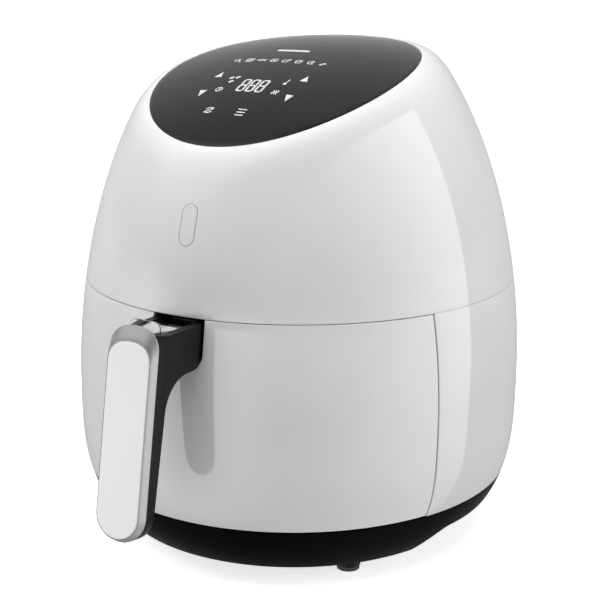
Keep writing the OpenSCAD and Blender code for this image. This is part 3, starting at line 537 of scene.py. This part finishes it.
def drawer_front():
    side = 54
    across = 48
    plans = [("side", -1, k) for k in range(side + 3, -1, -1)]
    plans += [("notch", 0, -1 + 2*i/across) for i in range(across + 1)]
    plans += [("side", 1, k) for k in range(side + 4)]
    sections = []
    for kind, sign, k in plans:
        def column(z, inset, extra_ok):
            if kind == "notch":
                return flank_point(math.degrees(math.asin(k*NOTCH_HALF/(half_w(z) - inset))),
                                   z, inset)
            a0 = math.degrees(math.asin((NOTCH_HALF + 0.15)/(half_w(z) - inset)))
            a1 = cut_angle(z, inset, SPLIT_Y + DRAWER_GAP/2)
            extra = 0.0
            if k > side:
                along, extra = EDGE_STEPS[side + 3 - k]
            else:
                along = EDGE_LAND
            edge = a1 - along/half_w(z)*DEG_PER_RAD
            a = a0 + (edge - a0)*min(k, side)/side
            return flank_point(sign*a, z, inset + (extra if extra_ok else 0))
        top = front_top(k*NOTCH_HALF) if kind == "notch" else FRONT_Z1
        rows = wall_rows(FRONT_Z0, top, EDGE_ROUND, EDGE_ROUND, WALL_ROWS)
        loop = [column(z, inset, True) for z, inset in rows]
        back = [column(z, WALL, False) for z, _ in reversed(rows)]
        sections.append(loop + back)
    verts, faces = lofted(sections, False)
    return piece("drawer_front_skin", verts, faces, "drawer",
                 MATERIALS["white_shell"], replaces=["drawer_front"])


def ease(t):
    """Smooth step from 0 to 1."""
    t = min(1.0, max(0.0, t))
    return t*t*(3 - 2*t)


# Hand grip in the band: plan angles where it starts and ends, its two ramps, and its height
HOLD_FROM, HOLD_TO, HOLD_RAMP, HOLD_END, HOLD_LIFT = 66.0, 118.0, 9.0, 14.0, 15.0
BASE_Z = 9.0


def band_foot(a):
    """Lower edge of the band at plan angle a; it rises over the hand grips."""
    s = 360 - a if a > 180 else a
    front = min(1.0, max(0.0, (s - HOLD_FROM)/HOLD_RAMP))
    return BASE_Z + HOLD_LIFT*(1 - (1 - front)**1.5)*ease((HOLD_TO - s)/HOLD_END)


def base_band():
    sections = []
    for j in range(COLUMNS*2):
        a = 180*j/COLUMNS
        rows = wall_rows(band_foot(a), BAND_Z, 1.0, 0.35, 14)
        loop = [flank_point(a, z, inset) for z, inset in rows]
        back = [flank_point(a, z, WALL) for z, _ in reversed(rows)]
        sections.append(loop + back)
    verts, faces = lofted(sections, True)
    return piece("base_band_skin", verts, faces, "housing",
                 MATERIALS["band_black"], replaces=["base_band"])


# ---- Glass panel and its legends ----------------------------------------------------------

GLASS_INSET = 0.4
GLASS_RINGS = 40
GLASS_COLUMNS = 216


def panel_glass():
    verts = [(0, -PANEL_FWD, glass_height(0, -PANEL_FWD))]
    rims = [(0.9, 0.0), (0.55, 0.06), (0.25, 0.25), (0.07, 0.55), (0.0, 1.0), (0.0, GLASS_T)]
    for k in range(1, GLASS_RINGS + 1):
        for j in range(GLASS_COLUMNS):
            a = 360*j/GLASS_COLUMNS
            x, y, _ = polar(a, (panel_rho(a) - GLASS_INSET - 1.3)*k/GLASS_RINGS, 0)
            verts.append((x, y, glass_height(x, y)))
    for inset, drop in rims:
        for j in range(GLASS_COLUMNS):
            a = 360*j/GLASS_COLUMNS
            verts.append(on_crown(a, panel_rho(a) - GLASS_INSET - inset, drop))
    faces = [(0, 1 + (j + 1) % GLASS_COLUMNS, 1 + j) for j in range(GLASS_COLUMNS)]
    for k in range(GLASS_RINGS + len(rims) - 1):
        for j in range(GLASS_COLUMNS):
            a, b = 1 + k*GLASS_COLUMNS + j, 1 + k*GLASS_COLUMNS + (j + 1) % GLASS_COLUMNS
            faces.append((a, b, b + GLASS_COLUMNS, a + GLASS_COLUMNS))
    last = 1 + (GLASS_RINGS + len(rims) - 1)*GLASS_COLUMNS
    faces.append(tuple(last + j for j in range(GLASS_COLUMNS)))
    return piece("panel_glass_skin", verts, faces, "housing",
                 MATERIALS["panel_glass"], sharp=50, replaces=["panel_glass"])


class Legend:
    """Flat print on the glass, drawn from strokes and filled outlines."""

    def __init__(self, name, thickness=0.05):
        self.name, self.thickness = name, thickness
        self.verts, self.faces = [], []

    def fill(self, points):
        """A filled convex outline in panel coordinates."""
        n = len(points)
        start = len(self.verts)
        for lift in (self.thickness, -0.02):
            for x, y in points:
                self.verts.append((x, y, glass_height(x, y) + lift))
        self.faces.append(tuple(start + i for i in range(n)))
        self.faces.append(tuple(start + n + i for i in reversed(range(n))))
        for i in range(n):
            j = (i + 1) % n
            self.faces.append((start + i, start + n + i, start + n + j, start + j))

    def stroke(self, points, width, closed=False):
        pairs = list(zip(points, points[1:] + points[:1] if closed else points[1:]))
        for (x0, y0), (x1, y1) in pairs:
            length = math.hypot(x1 - x0, y1 - y0)
            if length < 1e-6:
                continue
            ux, uy = (x1 - x0)/length*width/2, (y1 - y0)/length*width/2
            count = max(1, math.ceil(length/2.0))
            for k in range(count):
                f, g = k/count, (k + 1)/count
                ax, ay = x0 + (x1 - x0)*f - ux*0.4, y0 + (y1 - y0)*f - uy*0.4
                bx, by = x0 + (x1 - x0)*g + ux*0.4, y0 + (y1 - y0)*g + uy*0.4
                self.fill([(ax + uy, ay - ux), (bx + uy, by - ux),
                           (bx - uy, by + ux), (ax - uy, ay + ux)])

    def build(self):
        return piece(self.name, self.verts, self.faces, "housing",
                     MATERIALS["legend_print"])


def place(glyph_points, cx, cy, size):
    """Unit-box points (-1..1) to panel coordinates, shortened along the slope."""
    return [(cx + x*size/2, cy + y*size/2*SLOPE) for x, y in glyph_points]


def arc(cx, cy, r, a0, a1, n=8):
    return [(cx + r*math.cos(math.radians(a0 + (a1 - a0)*i/n)),
             cy + r*math.sin(math.radians(a0 + (a1 - a0)*i/n))) for i in range(n + 1)]


SLOPE = 0.93
LEGEND_X = -2.7
PROGRAMS = [
    [arc(-0.2, 0.1, 0.6, 0, 360), [(0.2, -0.2), (0.9, -0.9)]],
    [[(-0.8, 0.7), (0.8, 0.7), (0.6, -0.8), (-0.6, -0.8), (-0.8, 0.7)], [(-0.3, 0.6), (-0.2, -0.7)],
     [(0.3, 0.6), (0.2, -0.7)]],
    [arc(-0.2, -0.6, 0.95, 30, 150), arc(-0.2, 0.6, 0.95, 210, 330), [(0.6, 0), (1, 0.5)],
     [(0.6, 0), (1, -0.5)]],
    [arc(0, 0, 0.8, 0, 360), arc(-0.25, 0.2, 0.15, 0, 360, 5), arc(0.3, -0.2, 0.15, 0, 360, 5)],
    [arc(-0.2, -0.2, 0.6, 90, 360), [(-0.2, 0.4), (0.7, 0.8), (0.4, -0.2)]],
    [arc(0, 0.1, 0.7, 0, 180), [(-0.7, 0.1), (-0.4, -0.8), (0.4, -0.8), (0.7, 0.1), (-0.7, 0.1)]],
    [arc(0, 0, 0.75, 40, 320), [(0.5, 0.5), (0, 0.1), (0.5, -0.5)]],
    [arc(0.5, -0.8, 1.2, 100, 170), arc(0.5, -0.8, 0.8, 100, 170), [(-0.7, -0.6), (-0.25, -0.7)],
     [(0.3, 0.4), (0.35, 0.0)]],
]


PROGRAMS_Y, PROGRAMS_SPAN, PROGRAM_SIZE, PROGRAM_STROKE = -27.2, 64.0, 6.6, 0.7


def programs():
    legend = Legend("legend_programs")
    for i, glyph in enumerate(PROGRAMS):
        for line in glyph:
            x = LEGEND_X + PROGRAMS_SPAN*(i/(len(PROGRAMS) - 1) - 0.5)
            legend.stroke(place(line, x, PROGRAMS_Y, PROGRAM_SIZE), PROGRAM_STROKE)
    return legend.build()


ARROW_X, ARROW_UP_Y, ARROW_DOWN_Y = 31.5, -50.3, -73.4


def arrow(legend, x, y, up):
    """A triangle whose tip points up or down."""
    s = 1 if up else -1
    legend.fill([(x - 2.6, y - 3.2*s), (x + 2.6, y - 3.2*s), (x, y + 3.8*s)][::s])


def keys():
    legend = Legend("legend_keys")
    for side in (-1, 1):
        arrow(legend, LEGEND_X + side*ARROW_X, ARROW_UP_Y, True)
        arrow(legend, LEGEND_X + side*ARROW_X, ARROW_DOWN_Y, False)
    for x, y in ((-22.6, -55.0), (-18.4, -54.2), (-20.4, -59.6)):
        legend.stroke([(x - 0.9, y - 0.8), (x + 0.9, y + 0.8)], 2.0)
    x, y = -23.4, -69.3
    legend.stroke(arc(x, y, 2.2, 0, 360, 12), 0.7)
    legend.stroke([(x, y), (x + 1.4, y)], 0.6)
    legend.stroke([(x, y), (x, y + 1.5)], 0.6)
    x, y = 18.9, -56.6
    legend.stroke([(x - 0.2, y - 1.2), (x + 0.6, y + 3.0)], 0.8)
    legend.stroke(arc(x - 0.4, y - 2.2, 0.7, 0, 360, 8), 1.0)
    for dx in (-1.5, 0, 1.5):
        base = 17.5 + dx
        legend.stroke([(base, -71.4), (base - 0.6, -70.0), (base + 0.6, -68.6), (base, -67.2)], 0.7)
    x, y = -17.0, -91.3
    legend.stroke(arc(x, y, 2.4, 20, 160, 6), 0.8)
    legend.stroke(arc(x, y, 2.4, 200, 340, 6), 0.8)
    legend.stroke([(x - 2.6, y - 2.2), (x + 2.6, y + 2.2)], 0.8)
    for dy in (-2.6, 0, 2.6):
        legend.stroke([(3.4, -91.6 + dy), (9.0, -91.6 + dy)], 0.8)
    legend.stroke([(-15.0, -7.3), (7.4, -7.3)], 3.3)
    return legend.build()


def digits():
    """Three lit digits, all seven segments on."""
    legend = Legend("legend_digits")
    w, h, t = 4.3, 6.6, 1.3
    for i in (-1, 0, 1):
        cx, cy = -1.6 + 6.7*i, -63.7
        for y in (-h, 0, h):
            legend.stroke([(cx - w/2 + 0.6, cy + y), (cx + w/2 - 0.6, cy + y)], t)
        for x in (-w/2, w/2):
            for y0 in (-h, 0):
                legend.stroke([(cx + x, cy + y0 + 0.6), (cx + x, cy + y0 + h - 0.6)], t)
    return legend.build()


# ---- Pill insert --------------------------------------------------------------------------

PILL_Z, PILL_W, PILL_H = 227.6, 10.2, 24.0


def pill_outline(grow, n=24):
    r = PILL_W/2 + grow
    straight = (PILL_H - PILL_W)/2
    top = [(r*math.cos(math.pi*i/n), straight + r*math.sin(math.pi*i/n)) for i in range(n + 1)]
    side = [(-r, straight*(1 - 2*i/10)) for i in range(1, 10)]
    half = top + side
    return half + [(-x, -y) for x, y in half]


def on_front(u, v, lift):
    """A point of the front flank, u across and v up from the pill's centre."""
    z = PILL_Z + v
    return flank_point(math.degrees(math.asin(u/half_w(z))), z, -lift)


def pill_insert():
    rings = [(0.0, -0.3), (0.0, 0.0), (-0.08, 0.1), (-0.25, 0.16), (-0.6, 0.18)]
    outlines = [pill_outline(g) for g, _ in rings]
    n = len(outlines[0])
    verts = [on_front(u, v, lift) for (_, lift), o in zip(rings, outlines) for u, v in o]
    faces = band_faces(len(rings), n)
    shrink = 6
    for s in range(1, shrink + 1):
        f = 1 - s/shrink
        verts += [on_front(u*f, v, 0.18) for u, v in outlines[-1]]
    base = (len(rings) - 1)*n
    faces += [tuple(base + v for v in face) for face in band_faces(shrink + 1, n)]
    return piece("pill_insert_skin", verts, faces, "housing",
                 MATERIALS["white_insert"], replaces=["pill_insert"])


def pill_gap_shade():
    """A grey ring lying flush round the insert: painted shade of the gap between insert and shell.
    """
    rings = [(0.42, 0.01), (0.36, 0.05), (-0.05, 0.05), (-0.1, -0.1)]
    outlines = [pill_outline(grow) for grow, _ in rings]
    n = len(outlines[0])
    verts = [on_front(u, v, lift) for (_, lift), o in zip(rings, outlines) for u, v in o]
    faces = band_faces(len(rings), n)
    return piece("pill_gap_shade", verts, faces, "housing", MATERIALS["gap_shade_grey"])


# ---- Handle -------------------------------------------------------------------------------

GRIP_Y, GRIP_Z = -211.5, 113.0
GRIP_LEAN = math.radians(9.2)
GRIP_W = 34.0
GRIP_TOP, GRIP_LOW = 67.3, -59.8
TOP_RISE, TOP_POWER = 0.88, 2.35
PLATE_W, PLATE_LOW, PLATE_HIGH = 28.8, -57.1, 58.0
BEZEL_T = 5.0


def on_grip(x, y, z):
    """From the grip's own frame (x across, y up the grip, z out of its face)."""
    c, s = math.cos(math.pi/2 - GRIP_LEAN), math.sin(math.pi/2 - GRIP_LEAN)
    return (x, GRIP_Y + y*c - z*s, GRIP_Z + y*s + z*c)


def flat_arc(half, rise, power, n=32):
    """Half of a rounded outline: from (half, 0) over (0, rise) to (-half, 0)."""
    points = []
    for i in range(n + 1):
        t = math.pi*i/n
        c, s = math.cos(t), math.sin(t)
        points.append((math.copysign(half*abs(c)**(2/power), c), rise*max(0.0, s)**(2/power)))
    return points


def bar_outline(half, low, high):
    """Outline of a straight bar with a flattened round top and a round foot."""
    rise = half*TOP_RISE
    top = [(x, high - rise + y) for x, y in flat_arc(half, rise, TOP_POWER)]
    foot = [(-x, low + half - y) for x, y in flat_arc(half, half, 2.0)]
    return top + foot


def handle_bezel():
    steps = [(0.0, -BEZEL_T + 0.02), (0.0, -4.6), (0.08, -4.3), (0.3, -3.9), (0.55, -3.4),
             (0.85, -2.7), (1.15, -2.0), (1.45, -1.35), (1.75, -0.8), (2.0, -0.45), (2.2, -0.22),
             (2.38, -0.15), (2.46, -0.3), (2.46, -1.9)]
    verts, n = [], None
    for inset, z in steps:
        outline = bar_outline(GRIP_W/2 - inset, GRIP_LOW + inset,
                              GRIP_TOP - inset*(GRIP_TOP - PLATE_HIGH)/2.5)
        n = len(outline)
        verts += [on_grip(x, y, z) for x, y in outline]
    faces = capped_faces(len(steps), n)
    return piece("handle_bezel_skin", verts, faces, "basket",
                 MATERIALS["satin_silver"], sharp=60, replaces=["handle_bezel"])


def handle_plate():
    steps = [(0.0, -1.8), (0.0, -0.35), (0.08, -0.12), (0.3, 0.06), (0.7, 0.16), (1.3, 0.2)]
    verts = []
    for inset, z in steps:
        outline = bar_outline(PLATE_W/2 - inset, PLATE_LOW + inset, PLATE_HIGH - inset)
        n = len(outline)
        verts += [on_grip(x, y, z) for x, y in outline]
    faces = capped_faces(len(steps), n)
    return piece("handle_plate_skin", verts, faces, "basket",
                 MATERIALS["white_plate"], sharp=50, replaces=["handle_plate"])


def solid_prism(name, points, axis_point):
    """A closed prism: points is its outline, and axis_point(p, t) places it at t = 0 and 1."""
    n = len(points)
    verts = [to_frame(axis_point(p, t)) for t in (0, 1) for p in points]
    faces = [tuple(range(n)), tuple(range(2*n - 1, n - 1, -1))]
    faces += [(i, (i + 1) % n, n + (i + 1) % n, n + i) for i in range(n)]
    mesh = bpy.data.meshes.new(name)
    mesh.from_pydata(verts, [], faces)
    bm = bmesh.new()
    bm.from_mesh(mesh)
    bmesh.ops.recalc_face_normals(bm, faces=bm.faces)
    bm.to_mesh(mesh)
    bm.free()
    obj = bpy.data.objects.new(name, mesh)
    bpy.context.scene.collection.objects.link(obj)
    return obj


def block(name, lo, hi):
    """A box between two corners, in millimetres."""
    outline = [(lo[0], lo[1]), (hi[0], lo[1]), (hi[0], hi[1]), (lo[0], hi[1])]
    return solid_prism(name, outline, lambda p, t: (p[0], p[1], lo[2] if t == 0 else hi[2]))


def combined(obj, tools):
    """Applies boolean operations, then removes the tools. Returns the new mesh."""
    for operation, tool in tools:
        modifier = obj.modifiers.new("cut", "BOOLEAN")
        modifier.operation = operation
        modifier.solver = "EXACT"
        modifier.object = tool
    mesh = evaluated_mesh(obj)
    for _, tool in tools:
        bpy.data.objects.remove(tool)
    bpy.data.objects.remove(obj)
    return mesh


def evaluated_mesh(obj):
    bpy.context.view_layer.update()
    graph = bpy.context.evaluated_depsgraph_get()
    return bpy.data.meshes.new_from_object(obj.evaluated_get(graph))


def bevelled(mesh, width, segments=3, angle=30.0):
    """The same mesh with its sharp edges rounded."""
    obj = bpy.data.objects.new("bevelling", mesh)
    bpy.context.scene.collection.objects.link(obj)
    modifier = obj.modifiers.new("round", "BEVEL")
    modifier.width = width*MM
    modifier.segments = segments
    modifier.limit_method = "ANGLE"
    modifier.angle_limit = math.radians(angle)
    modifier.use_clamp_overlap = True
    made = evaluated_mesh(obj)
    bpy.data.objects.remove(obj)
    return made


ARM_TOP, ARM_IN = 172.1, -147.0
REAR_LEAN = math.radians(11.9)
WEB_Y, WEB_Z, WEB_R = -170.4, 122.5, 23.0
HEEL_Y, HEEL_R = -162.0, 8.6
HEEL_Z = WEB_Z + WEB_R + HEEL_R
POCKET_X, POCKET_Y0, POCKET_Z = 10.0, -189.0, 152.0
SLOT_X, SLOT_Z = 11.4, 170.6


def face_at(z):
    """Y of the plane between the arm and the bezel at a height."""
    return GRIP_Y + (z - GRIP_Z)*math.tan(GRIP_LEAN) + (BEZEL_T + 0.02)/math.cos(GRIP_LEAN)


ARM_BACK_L, ARM_FOOT_Z, ARM_TOP_Y = 78.0, 49.0, -186.0
CORNER_CUT_Z, CORNER_CUT_L, CORNER_SPREAD_X, CORNER_SPREAD_Y = -34.0, 29.5, 4.0, 2.0


def arm_profile():
    """Side view of the arm: level on top, with a heel under it and a web down the grip."""
    profile = [(ARM_IN, ARM_TOP), (ARM_IN, HEEL_Z), (HEEL_Y + HEEL_R, HEEL_Z)]
    profile += arc(HEEL_Y, HEEL_Z, HEEL_R, 0, -90, 14)
    profile += arc(WEB_Y, WEB_Z, WEB_R, 90, 180 - math.degrees(REAR_LEAN), 24)
    profile += [(WEB_Y - WEB_R*math.cos(REAR_LEAN) - ARM_BACK_L*math.sin(REAR_LEAN),
                 WEB_Z + WEB_R*math.sin(REAR_LEAN) - ARM_BACK_L*math.cos(REAR_LEAN))]
    return profile + [(face_at(ARM_FOOT_Z), ARM_FOOT_Z), (face_at(ARM_TOP + 2), ARM_TOP + 2),
                      (ARM_TOP_Y, ARM_TOP)]


def corner_cutters():
    """Prisms that round the arm's top corners like the bezel in front of them."""
    half = GRIP_W/2
    rise = half*TOP_RISE
    cut = [(GRIP_W, GRIP_W), (GRIP_W, -6), (half + 1.5, -6)]
    cut += [(x, y) for x, y in flat_arc(half, rise, TOP_POWER)[1:14]]
    for side in (-1, 1):
        yield solid_prism("corner", cut, lambda p, t, s=side: on_grip(
            s*(p[0] + CORNER_SPREAD_X*(1 - t)),
            p[1] + GRIP_TOP - rise + CORNER_SPREAD_Y*(1 - t), CORNER_CUT_Z + CORNER_CUT_L*t))


def handle_arm():
    arm = solid_prism("arm", arm_profile(), lambda p, t: (GRIP_W*(t - 0.5), p[0], p[1]))
    half = GRIP_W/2
    outline = [(half, GRIP_TOP + 70), (-half, GRIP_TOP + 70)]
    outline += [(-half*math.cos(math.pi*i/32), GRIP_LOW + half - half*math.sin(math.pi*i/32))
                for i in range(33)]
    ends = solid_prism("ends", outline, lambda p, t: on_grip(p[0], p[1], -120 + 130*t))
    pocket = block("pocket", (-POCKET_X, POCKET_Y0, POCKET_Z), (POCKET_X, ARM_IN - 3, 200))
    slot = block("slot", (-SLOT_X, POCKET_Y0 - 1, SLOT_Z), (SLOT_X, ARM_IN + 9, 200))
    cutters = [*corner_cutters(), pocket, slot]
    mesh = combined(arm, [("INTERSECT", ends)] + [("DIFFERENCE", c) for c in cutters])
    mesh = bevelled(mesh, 0.7, 3, 32)
    return adopt("handle_arm_skin", mesh, "basket",
                 MATERIALS["black_plastic"], sharp=28, replaces=["handle_arm"])


COVER_HALF, COVER_Y0, COVER_L, COVER_Z, COVER_T = 10.8, -188.0, 24.0, 170.85, 1.1
LIP_H = 8.5


def button_cover():
    deck = block("deck", (-COVER_HALF, COVER_Y0, COVER_Z),
                 (COVER_HALF, COVER_Y0 + COVER_L, COVER_Z + COVER_T))
    w, h, r = COVER_HALF - 0.3, LIP_H, 4.0
    outline = [(-w, 0), (w, 0)] + arc(w - r, h - r, r, 0, 90, 8) + arc(r - w, h - r, r, 90, 180, 8)
    lip = solid_prism("lip", outline,
                      lambda p, t: (p[0], COVER_Y0 + 0.2 + 1.4*t, COVER_Z + 0.2 + p[1]))
    mesh = bevelled(combined(deck, [("UNION", lip)]), 0.3, 3, 40)
    return adopt("button_cover_skin", mesh, "button_cover",
                 MATERIALS["clear_cover"], replaces=["button_cover"])


BUTTON_Y, BUTTON_HALF_X, BUTTON_HALF_Y, BUTTON_TOP, BUTTON_T = -174.0, 9.5, 8.0, 170.1, 3.6
BUTTON_R, STEM_R = 1.6, 2.2


def release_button():
    y, half_x, half_y, top, t = BUTTON_Y, BUTTON_HALF_X, BUTTON_HALF_Y, BUTTON_TOP, BUTTON_T
    r = BUTTON_R
    outline = []
    for cx, cy, a0 in ((half_x, half_y, 0), (-half_x, half_y, 90), (-half_x, -half_y, 180),
                       (half_x, -half_y, 270)):
        sx, sy = math.copysign(half_x - r, cx), math.copysign(half_y - r, cy)
        outline += arc(sx, y + sy, r, a0, a0 + 90, 6)
    pad = solid_prism("pad", outline, lambda p, s: (p[0], p[1], top - t + t*s))
    stem_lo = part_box("release_button")[0].z/MM
    stem = solid_prism("stem", arc(0, y, STEM_R, 0, 345, 23),
                       lambda p, s: (p[0], p[1], stem_lo + (top - t + 1 - stem_lo)*s))
    mesh = bevelled(combined(pad, [("UNION", stem)]), 0.5, 3, 40)
    return adopt("release_button_skin", mesh, "release_button",
                 MATERIALS["button_grey"], replaces=["release_button"])


# ---- Stage, light and camera --------------------------------------------------------------

# Metres; the floor's glow is what lifts it to the white of the backdrop
FLOOR_HALF, FLOOR_GLOW = 60.0, 0.75
BACKDROP_R, BACKDROP_H = 14.0, 14.0


def floor():
    """A pale sheet. It only shows; the lower half of the world gives its light."""
    half = FLOOR_HALF
    mesh = bpy.data.meshes.new("floor")
    mesh.from_pydata([(-half, -half, 0), (half, -half, 0), (half, half, 0), (-half, half, 0)],
                     [], [(0, 1, 2, 3)])
    obj = bpy.data.objects.new("floor", mesh)
    bpy.context.scene.collection.objects.link(obj)
    n = Nodes("floor_paper", specular=0.1, roughness=0.9, emission_strength=FLOOR_GLOW)
    n.link(n.ramp(n.noise(2.0), 0.3, 0.7, (0.89, 0.89, 0.89), (0.91, 0.91, 0.91)),
           n.shader.inputs["Base Color"])
    mesh.materials.append(n.material)
    obj.visible_glossy = obj.visible_diffuse = False
    return obj


def backdrop():
    """A white wall far behind the floor. It only shows; it lights and mirrors nothing."""
    count = 96
    ring = arc(0, 0, BACKDROP_R, 0, 360, count)[:count]
    mesh = bpy.data.meshes.new("backdrop")
    mesh.from_pydata([(x, y, z) for z in (-0.01, BACKDROP_H) for x, y in ring], [],
                     band_faces(2, count))
    obj = bpy.data.objects.new("backdrop", mesh)
    bpy.context.scene.collection.objects.link(obj)
    n = Nodes("backdrop_paper", specular=0.0, roughness=0.9, emission_strength=1.0)
    n.shader.inputs["Base Color"].default_value = (0, 0, 0, 1)
    n.link(n.ramp(n.noise(2.0), 0.3, 0.7, (1.0, 1.0, 1.0), (1.02, 1.02, 1.02)),
           n.shader.inputs["Emission Color"])
    mesh.materials.append(n.material)
    obj.visible_diffuse = obj.visible_glossy = False
    obj.visible_transmission = obj.visible_shadow = False
    return obj


def softbox(name, azimuth, elevation, distance, width, height, radiance, glossy=True):
    """A rectangular light aimed at the body; azimuth 0 is in front, 90 on the right."""
    middle = Vector((0, BODY_Y*MM, 0.16))
    a, e = math.radians(azimuth), math.radians(elevation)
    away = Vector((math.sin(a)*math.cos(e), -math.cos(a)*math.cos(e), math.sin(e)))
    light = bpy.data.lights.new(name, "AREA")
    light.shape = "RECTANGLE"
    light.size, light.size_y = width, height
    light.energy = radiance*math.pi*width*height
    obj = bpy.data.objects.new(name, light)
    bpy.context.scene.collection.objects.link(obj)
    obj.location = middle + away*distance
    obj.rotation_mode = "QUATERNION"
    obj.rotation_quaternion = (-away).to_track_quat("-Z", "Y")
    obj.visible_glossy = glossy
    return obj


class Sky:
    """The world's light as a function of direction: x to the right, y behind, z up."""

    def __init__(self):
        self.world = bpy.data.worlds.new("studio")
        self.world.use_nodes = True
        self.tree = self.world.node_tree
        split = self.tree.nodes.new("ShaderNodeSeparateXYZ")
        coords = self.tree.nodes.new("ShaderNodeTexCoord")
        self.direction = coords.outputs["Generated"]
        self.tree.links.new(self.direction, split.inputs["Vector"])
        self.x, self.y, self.z = (split.outputs[name] for name in "XYZ")

    def math(self, operation, a, b):
        node = self.tree.nodes.new("ShaderNodeMath")
        node.operation = operation
        for value, socket in zip((a, b), node.inputs):
            if isinstance(value, (int, float)):
                socket.default_value = value
            else:
                self.tree.links.new(value, socket)
        return node.outputs["Value"]

    def span(self, source, from_min, from_max, to_min, to_max):
        node = self.tree.nodes.new("ShaderNodeMapRange")
        node.interpolation_type = "SMOOTHSTEP"
        self.tree.links.new(source, node.inputs["Value"])
        values = (from_min, from_max, to_min, to_max)
        for name, value in zip(("From Min", "From Max", "To Min", "To Max"), values):
            node.inputs[name].default_value = value
        return node.outputs["Result"]

    def towards(self, azimuth, elevation):
        """Cosine of the angle to a direction; azimuth 0 is in front, 90 on the right."""
        a, e = math.radians(azimuth), math.radians(elevation)
        node = self.tree.nodes.new("ShaderNodeVectorMath")
        node.operation = "DOT_PRODUCT"
        self.tree.links.new(self.direction, node.inputs[0])
        node.inputs[1].default_value = (math.sin(a)*math.cos(e), -math.cos(a)*math.cos(e),
                                        math.sin(e))
        return node.outputs["Value"]

    def product(self, *factors):
        value = factors[0]
        for factor in factors[1:]:
            value = self.math("MULTIPLY", value, factor)
        return value

    def finish(self, *parts):
        total = parts[0]
        for part in parts[1:]:
            total = self.math("ADD", total, part)
        self.tree.links.new(total, self.tree.nodes["Background"].inputs["Strength"])
        self.tree.nodes["Background"].inputs["Color"].default_value = (1, 1, 1, 1)
        bpy.context.scene.world = self.world


# Radiances of the sky in front and behind, the glow low in front, the tall card on the right
# and the soft key on the left, and then of the two softboxes
SKY_FRONT, SKY_BACK, SKY_GLOW, CARD, KEY = 0.1, 0.5, 1.2, 1.6, 0.8
TOP_LIGHT, LEFT_LIGHT = 5.2, 3.1


def lighting():
    sky = Sky()
    below = sky.span(sky.z, -0.9, -0.05, 0.45, 0.62)
    back = sky.span(sky.y, -0.5, 0.5, SKY_FRONT, SKY_BACK)
    above = sky.math("MULTIPLY", back, sky.span(sky.z, -0.05, 0.1, 0.0, 1.0))
    low = sky.math("MULTIPLY", below, sky.span(sky.z, -0.05, 0.1, 1.0, 0.0))
    glow = sky.product(sky.span(sky.towards(-25, -8), 0.6, 0.97, 0.0, SKY_GLOW),
                       sky.span(sky.z, 0.0, 0.12, 1.0, 0.0))
    across = sky.math("DIVIDE", sky.y, sky.x)
    height = sky.math("DIVIDE", sky.z, sky.x)
    card = sky.product(sky.span(across, -1.2, 0.8, 0.15, CARD), sky.span(across, 0.78, 0.82, 1, 0),
                       sky.span(height, 0.88, 0.93, 1, 0), sky.span(height, -0.9, -0.1, 0.4, 1),
                       sky.math("GREATER_THAN", sky.x, 0.02))
    key = sky.span(sky.towards(-48, 48), 0.766, 0.966, 0.0, KEY)
    sky.finish(above, low, glow, card, key)
    softbox("top", 20, 88, 2.6, 2.4, 2.4, TOP_LIGHT, glossy=False)
    softbox("left", -80, 28, 1.8, 1.0, 1.0, LEFT_LIGHT, glossy=False)


CAMERA_AT = Vector((0.43361, -0.76447, 0.38178))
CAMERA_LOOK = Vector((-0.467107, 0.848870, -0.247449))
CAMERA_ROLL = math.radians(0.61)


def camera():
    """The view that the body's proportions were worked out from."""
    data = bpy.data.cameras.new("camera")
    data.sensor_width = 36.0
    data.lens = 80.22
    data.shift_x = 0.0055
    data.clip_start, data.clip_end = 0.01, 200
    obj = bpy.data.objects.new("camera", data)
    bpy.context.scene.collection.objects.link(obj)
    look = CAMERA_LOOK.normalized()
    right = look.cross(Vector((0, 0, 1))).normalized()
    up = right.cross(look)
    c, s = math.cos(CAMERA_ROLL), math.sin(CAMERA_ROLL)
    across, upward = c*right + s*up, c*up - s*right
    turn = Matrix((across, upward, -look)).transposed().to_4x4()
    obj.matrix_world = Matrix.Translation(CAMERA_AT) @ turn
    bpy.context.scene.camera = obj


camera()
upper_shell()
rear_shell()
drawer_front()
base_band()
panel_glass()
programs()
keys()
digits()
pill_insert()
pill_gap_shade()
handle_bezel()
handle_plate()
handle_arm()
button_cover()
release_button()
floor()
backdrop()
lighting()
bpy.context.scene.view_settings.view_transform = "Standard"
